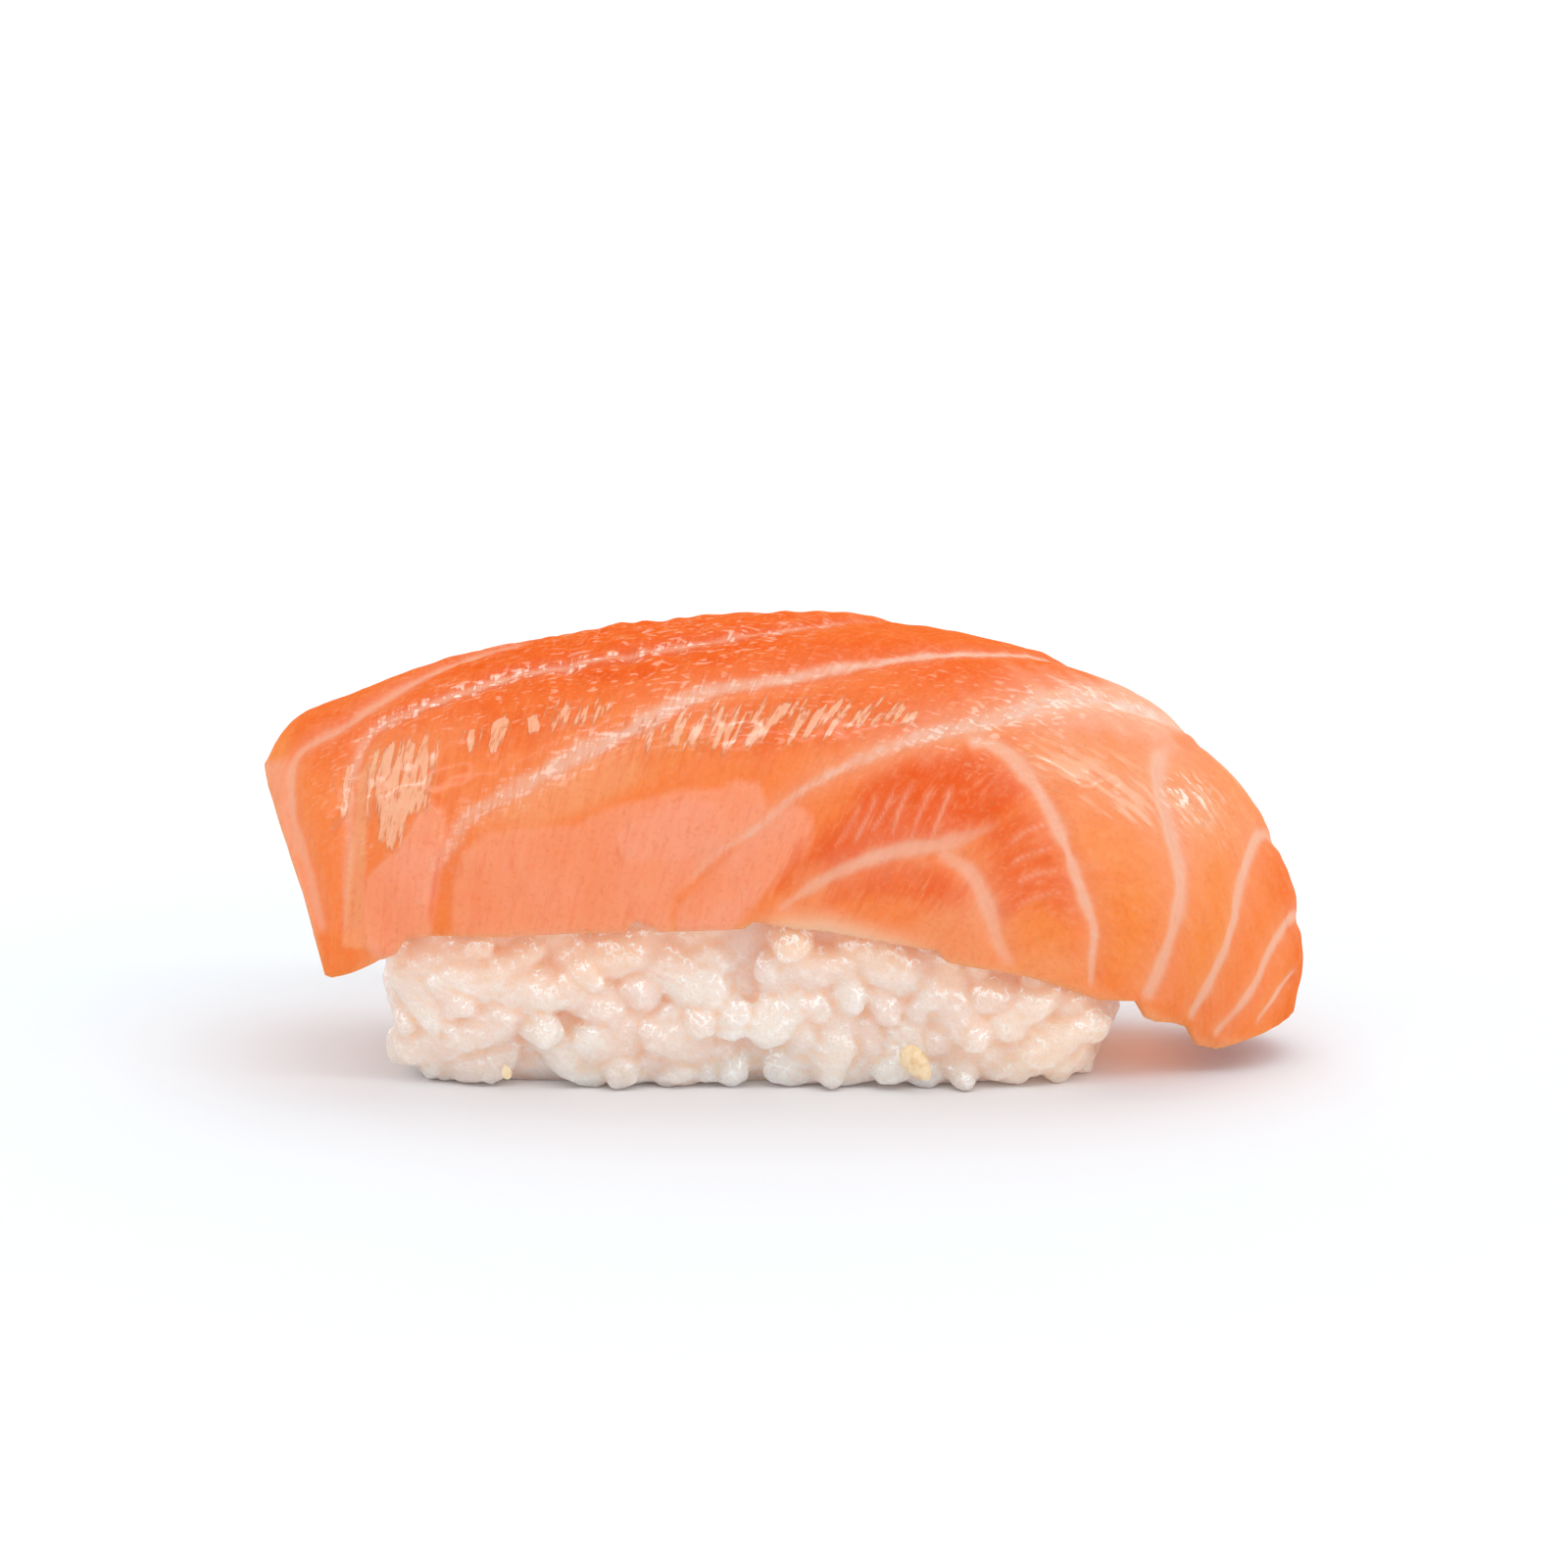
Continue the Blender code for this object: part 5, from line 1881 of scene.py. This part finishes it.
    def build(self, material: bpy.types.Material, slice_: SalmonSlice) -> bpy.types.Object:
        """Builds the rice and stores what its finish reads.

        Args:
            material: Its finish.
            slice_: The slice that it fits under.

        Returns:
            The rice.
        """
        solid = bpy.data.objects[slice_.node]
        tree = BVHTree.FromPolygons(
            [vertex.co for vertex in solid.data.vertices],
            [tuple(face.vertices) for face in solid.data.polygons],
        )
        core, faces = self.core(tree)
        shapes: list[np.ndarray] = []
        grains: list[bpy.types.Object] = []
        for number, grain in enumerate(self.grains(slice_)):
            shape, grain_faces = self.grain_mesh(grain, number)
            shape = self.pressed(shape, grain_faces, grain, tree)
            if shape is None:
                continue
            shapes.append(shape)
            grains.append(make_piece(f"grain_{number:03d}", shape, grain_faces, material))
        piece = make_piece(self.name, np.array([tuple(point) for point in core]), faces, material)
        self.melt(piece, grains)
        skin = points_of(piece)
        normals = normals_of(piece)
        skin += normals * (self.skin_depth * self.skin_ripple.at(skin))[:, None]
        skin[:, 2] = np.maximum(skin[:, 2], 0.0)
        move_points(piece, skin)
        folds = self.folds(piece, skin)
        # Painted shade in the creases, where the skin folds in.
        store(piece, "crease", smooth_step(0.0, self.crease_fold, folds))
        # Upward-facing ridges, which carry the painted highlights and more coat.
        up = smooth_step(*self.ridge_slopes, normals[:, 2])
        lit = self.ridge_low + (1.0 - self.ridge_low) * up
        store(piece, "ridge", smooth_step(*self.ridge_folds, -folds) * lit)
        store(piece, "tone", self.grain_tones(skin, shapes))
        # Painted orange light from the fish, strongest nearest the slice and under the tip.
        near = np.array([tree.find_nearest(Vector(point))[3] for point in skin])
        x = skin[:, 0] / MM
        deep = np.full(len(x), self.fish_light_depth)
        for middle, reach, depth in self.fish_light_spots:
            deep += depth * bell(x - middle, reach)
        warmth = 1.0 - smooth_step(0.0, 1.0, near / MM / deep)
        store(piece, "warmth", np.maximum(warmth, self.tip_fish_light * smooth_step(*self.tip_fish_light_from, x)))
        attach(piece, "root")
        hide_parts(self.node)
        return piece

    def grain_tones(self, skin: np.ndarray, shapes: list[np.ndarray]) -> np.ndarray:
        """Each point's tone: one seeded value for each grain.

        Args:
            skin: The rice's points, one a row.
            shapes: Each grain's points.

        Returns:
            One tone a point, between 0 and 1.
        """
        draw = random.Random(self.tone_seed)
        tree = KDTree(sum(len(shape) for shape in shapes))
        tones = []
        for shape in shapes:
            tone = draw.random()
            for point in shape:
                tree.insert(point, len(tones))
                tones.append(tone)
        tree.balance()
        return np.array([tones[tree.find(point)[1]] for point in skin])


@dataclass(frozen=True)
class Scrap:
    """A small smooth thing that lies on the rice: a seed, or a flake or hook of bran."""

    name: str
    place: tuple[float, float, float]
    size: tuple[float, float, float]
    lean: float
    point: float = 0.0
    curl: float = 0.0
    white: bool = False
    slot: str = "rice"
    rings: int = 28
    sides: int = 24

    def build(self, material: bpy.types.Material) -> bpy.types.Object:
        """Builds it in its place.

        Args:
            material: Its finish.

        Returns:
            The piece.
        """
        points = []
        for ring in range(self.rings + 1):
            share = ring / self.rings
            girth = max(math.sin(math.pi * share ** (1.0 + self.point)), 0.0) ** 0.6
            for side in range(self.sides):
                around = 2 * math.pi * side / self.sides
                points.append((
                    self.size[0] * (share - 0.5),
                    self.size[1] / 2 * (girth + 0.01) * math.cos(around) + self.curl * (2 * share - 1) ** 2,
                    self.size[2] / 2 * (girth + 0.01) * math.sin(around),
                ))
        turn = math.radians(self.lean)
        lie = np.array([math.cos(turn), 0.0, math.sin(turn)])
        out = np.array([0.0, -1.0, 0.0])
        shape = np.array(points) * MM @ np.array([lie, np.cross(out, lie), out])
        shape += np.array(self.place) * MM
        faces = [tuple(range(self.sides - 1, -1, -1)), tuple(range(len(points) - self.sides, len(points)))]
        faces += tube_faces(self.rings + 1, self.sides)
        piece = make_piece(self.name, shape, faces, material)
        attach(piece, "root")
        return piece


SCRAPS = (
    Scrap("sesame_seed", (9.0, -12.5, 2.35), (3.0, 1.75, 1.2), -53.0, -0.25),
    Scrap("bran_hook", (-20.6, -11.6, 1.9), (1.1, 0.22, 0.22), -50.0, 0.0, 0.22, True),
    Scrap("bran_flake", (-19.7, -11.6, 1.5), (1.1, 0.75, 0.2), -75.0, 0.3),
)


@dataclass(frozen=True)
class SoftBox:
    """A soft light: where it stands, its width and depth in metres, and its power."""

    name: str
    place: tuple[float, float, float]
    size: tuple[float, float]
    power: float


@dataclass(frozen=True)
class Studio:
    """The white table, the soft lights and the camera."""

    half_width: float = 3.0
    front: float = -3.0
    bend: float = 0.55
    bend_radius: float = 0.35
    height: float = 1.5
    bend_steps: int = 16
    aim: tuple[float, float, float] = (-0.00025, 0.0, 0.01967)
    distance: float = 0.40
    elevation: float = 12.0
    lens: float = 128.6
    sensor_width: float = 36.0
    nearest_shown: float = 0.01
    world_strength: float = 0.785
    boxes: tuple[SoftBox, ...] = (
        SoftBox("front_strip", (0.0, -0.80, 1.27), (3.0, 0.08), 5.4),
        SoftBox("top_box", (0.0, 0.45, 1.20), (1.2, 0.8), 2.6),
        SoftBox("low_fill", (1.30, -1.10, 0.50), (1.8, 1.0), 4.2),
    )

    def sweep(self, material: bpy.types.Material) -> bpy.types.Object:
        """The table top, which bends up into a wall behind the food.

        Args:
            material: Its finish.

        Returns:
            The sheet.
        """
        line = [(self.front, 0.0)]
        for step in range(self.bend_steps + 1):
            turn = math.pi / 2 * step / self.bend_steps
            line.append((
                self.bend + self.bend_radius * math.sin(turn),
                self.bend_radius * (1.0 - math.cos(turn)),
            ))
        line.append((self.bend + self.bend_radius, self.height))
        points = np.array([(x, y, z) for y, z in line for x in (-self.half_width, self.half_width)])
        faces = [(2 * i, 2 * i + 1, 2 * i + 3, 2 * i + 2) for i in range(len(line) - 1)]
        sheet = make_piece("white_sweep", points, faces, material)
        return sheet

    def lights(self) -> None:
        """A white surround and the softboxes, all aimed at the food."""
        world = bpy.data.worlds.new("white_surround")
        bpy.context.scene.world = world
        world.use_nodes = True
        world.node_tree.nodes["Background"].inputs["Color"].default_value = (1.0, 1.0, 1.0, 1.0)
        world.node_tree.nodes["Background"].inputs["Strength"].default_value = self.world_strength
        for box in self.boxes:
            data = bpy.data.lights.new(box.name, "AREA")
            data.shape = "RECTANGLE"
            data.size, data.size_y = box.size
            data.energy = box.power
            light = bpy.data.objects.new(box.name, data)
            light.location = box.place
            aim = Vector(self.aim) - Vector(box.place)
            light.rotation_euler = aim.to_track_quat("-Z", "Y").to_euler()
            bpy.context.scene.collection.objects.link(light)

    def camera(self) -> None:
        """The camera, level with the photograph's."""
        data = bpy.data.cameras.new("camera")
        data.lens = self.lens
        data.sensor_width = self.sensor_width
        data.clip_start = self.nearest_shown
        camera = bpy.data.objects.new("camera", data)
        lift = math.radians(self.elevation)
        away = Vector((0.0, -math.cos(lift), math.sin(lift))) * self.distance
        camera.location = Vector(self.aim) + away
        camera.rotation_euler = (math.pi / 2 - lift, 0.0, 0.0)
        bpy.context.scene.collection.objects.link(camera)
        bpy.context.scene.camera = camera
        bpy.context.scene.view_settings.view_transform = "Standard"


def report(piece: bpy.types.Object) -> None:
    """Logs a piece's name and its count of faces."""
    LOG.info("%s: %d faces", piece.name, len(piece.data.polygons))


def main() -> None:
    """Builds the studio, then the slice, the rice that fits under it, and what lies on the rice."""
    logging.basicConfig(level=logging.INFO, format="%(name)s %(message)s")
    studio = Studio()
    studio.camera()
    studio.lights()
    report(studio.sweep(FloorFinish().build()))
    slice_ = SalmonSlice()
    report(slice_.build(SalmonFinish().build()))
    cooked_rice = RiceFinish().build()
    report(RiceBlock().build(cooked_rice, slice_))
    pale_seed = SeedFinish().build()
    for scrap in SCRAPS:
        report(scrap.build(cooked_rice if scrap.white else pale_seed))


if __name__ == "__main__":
    main()
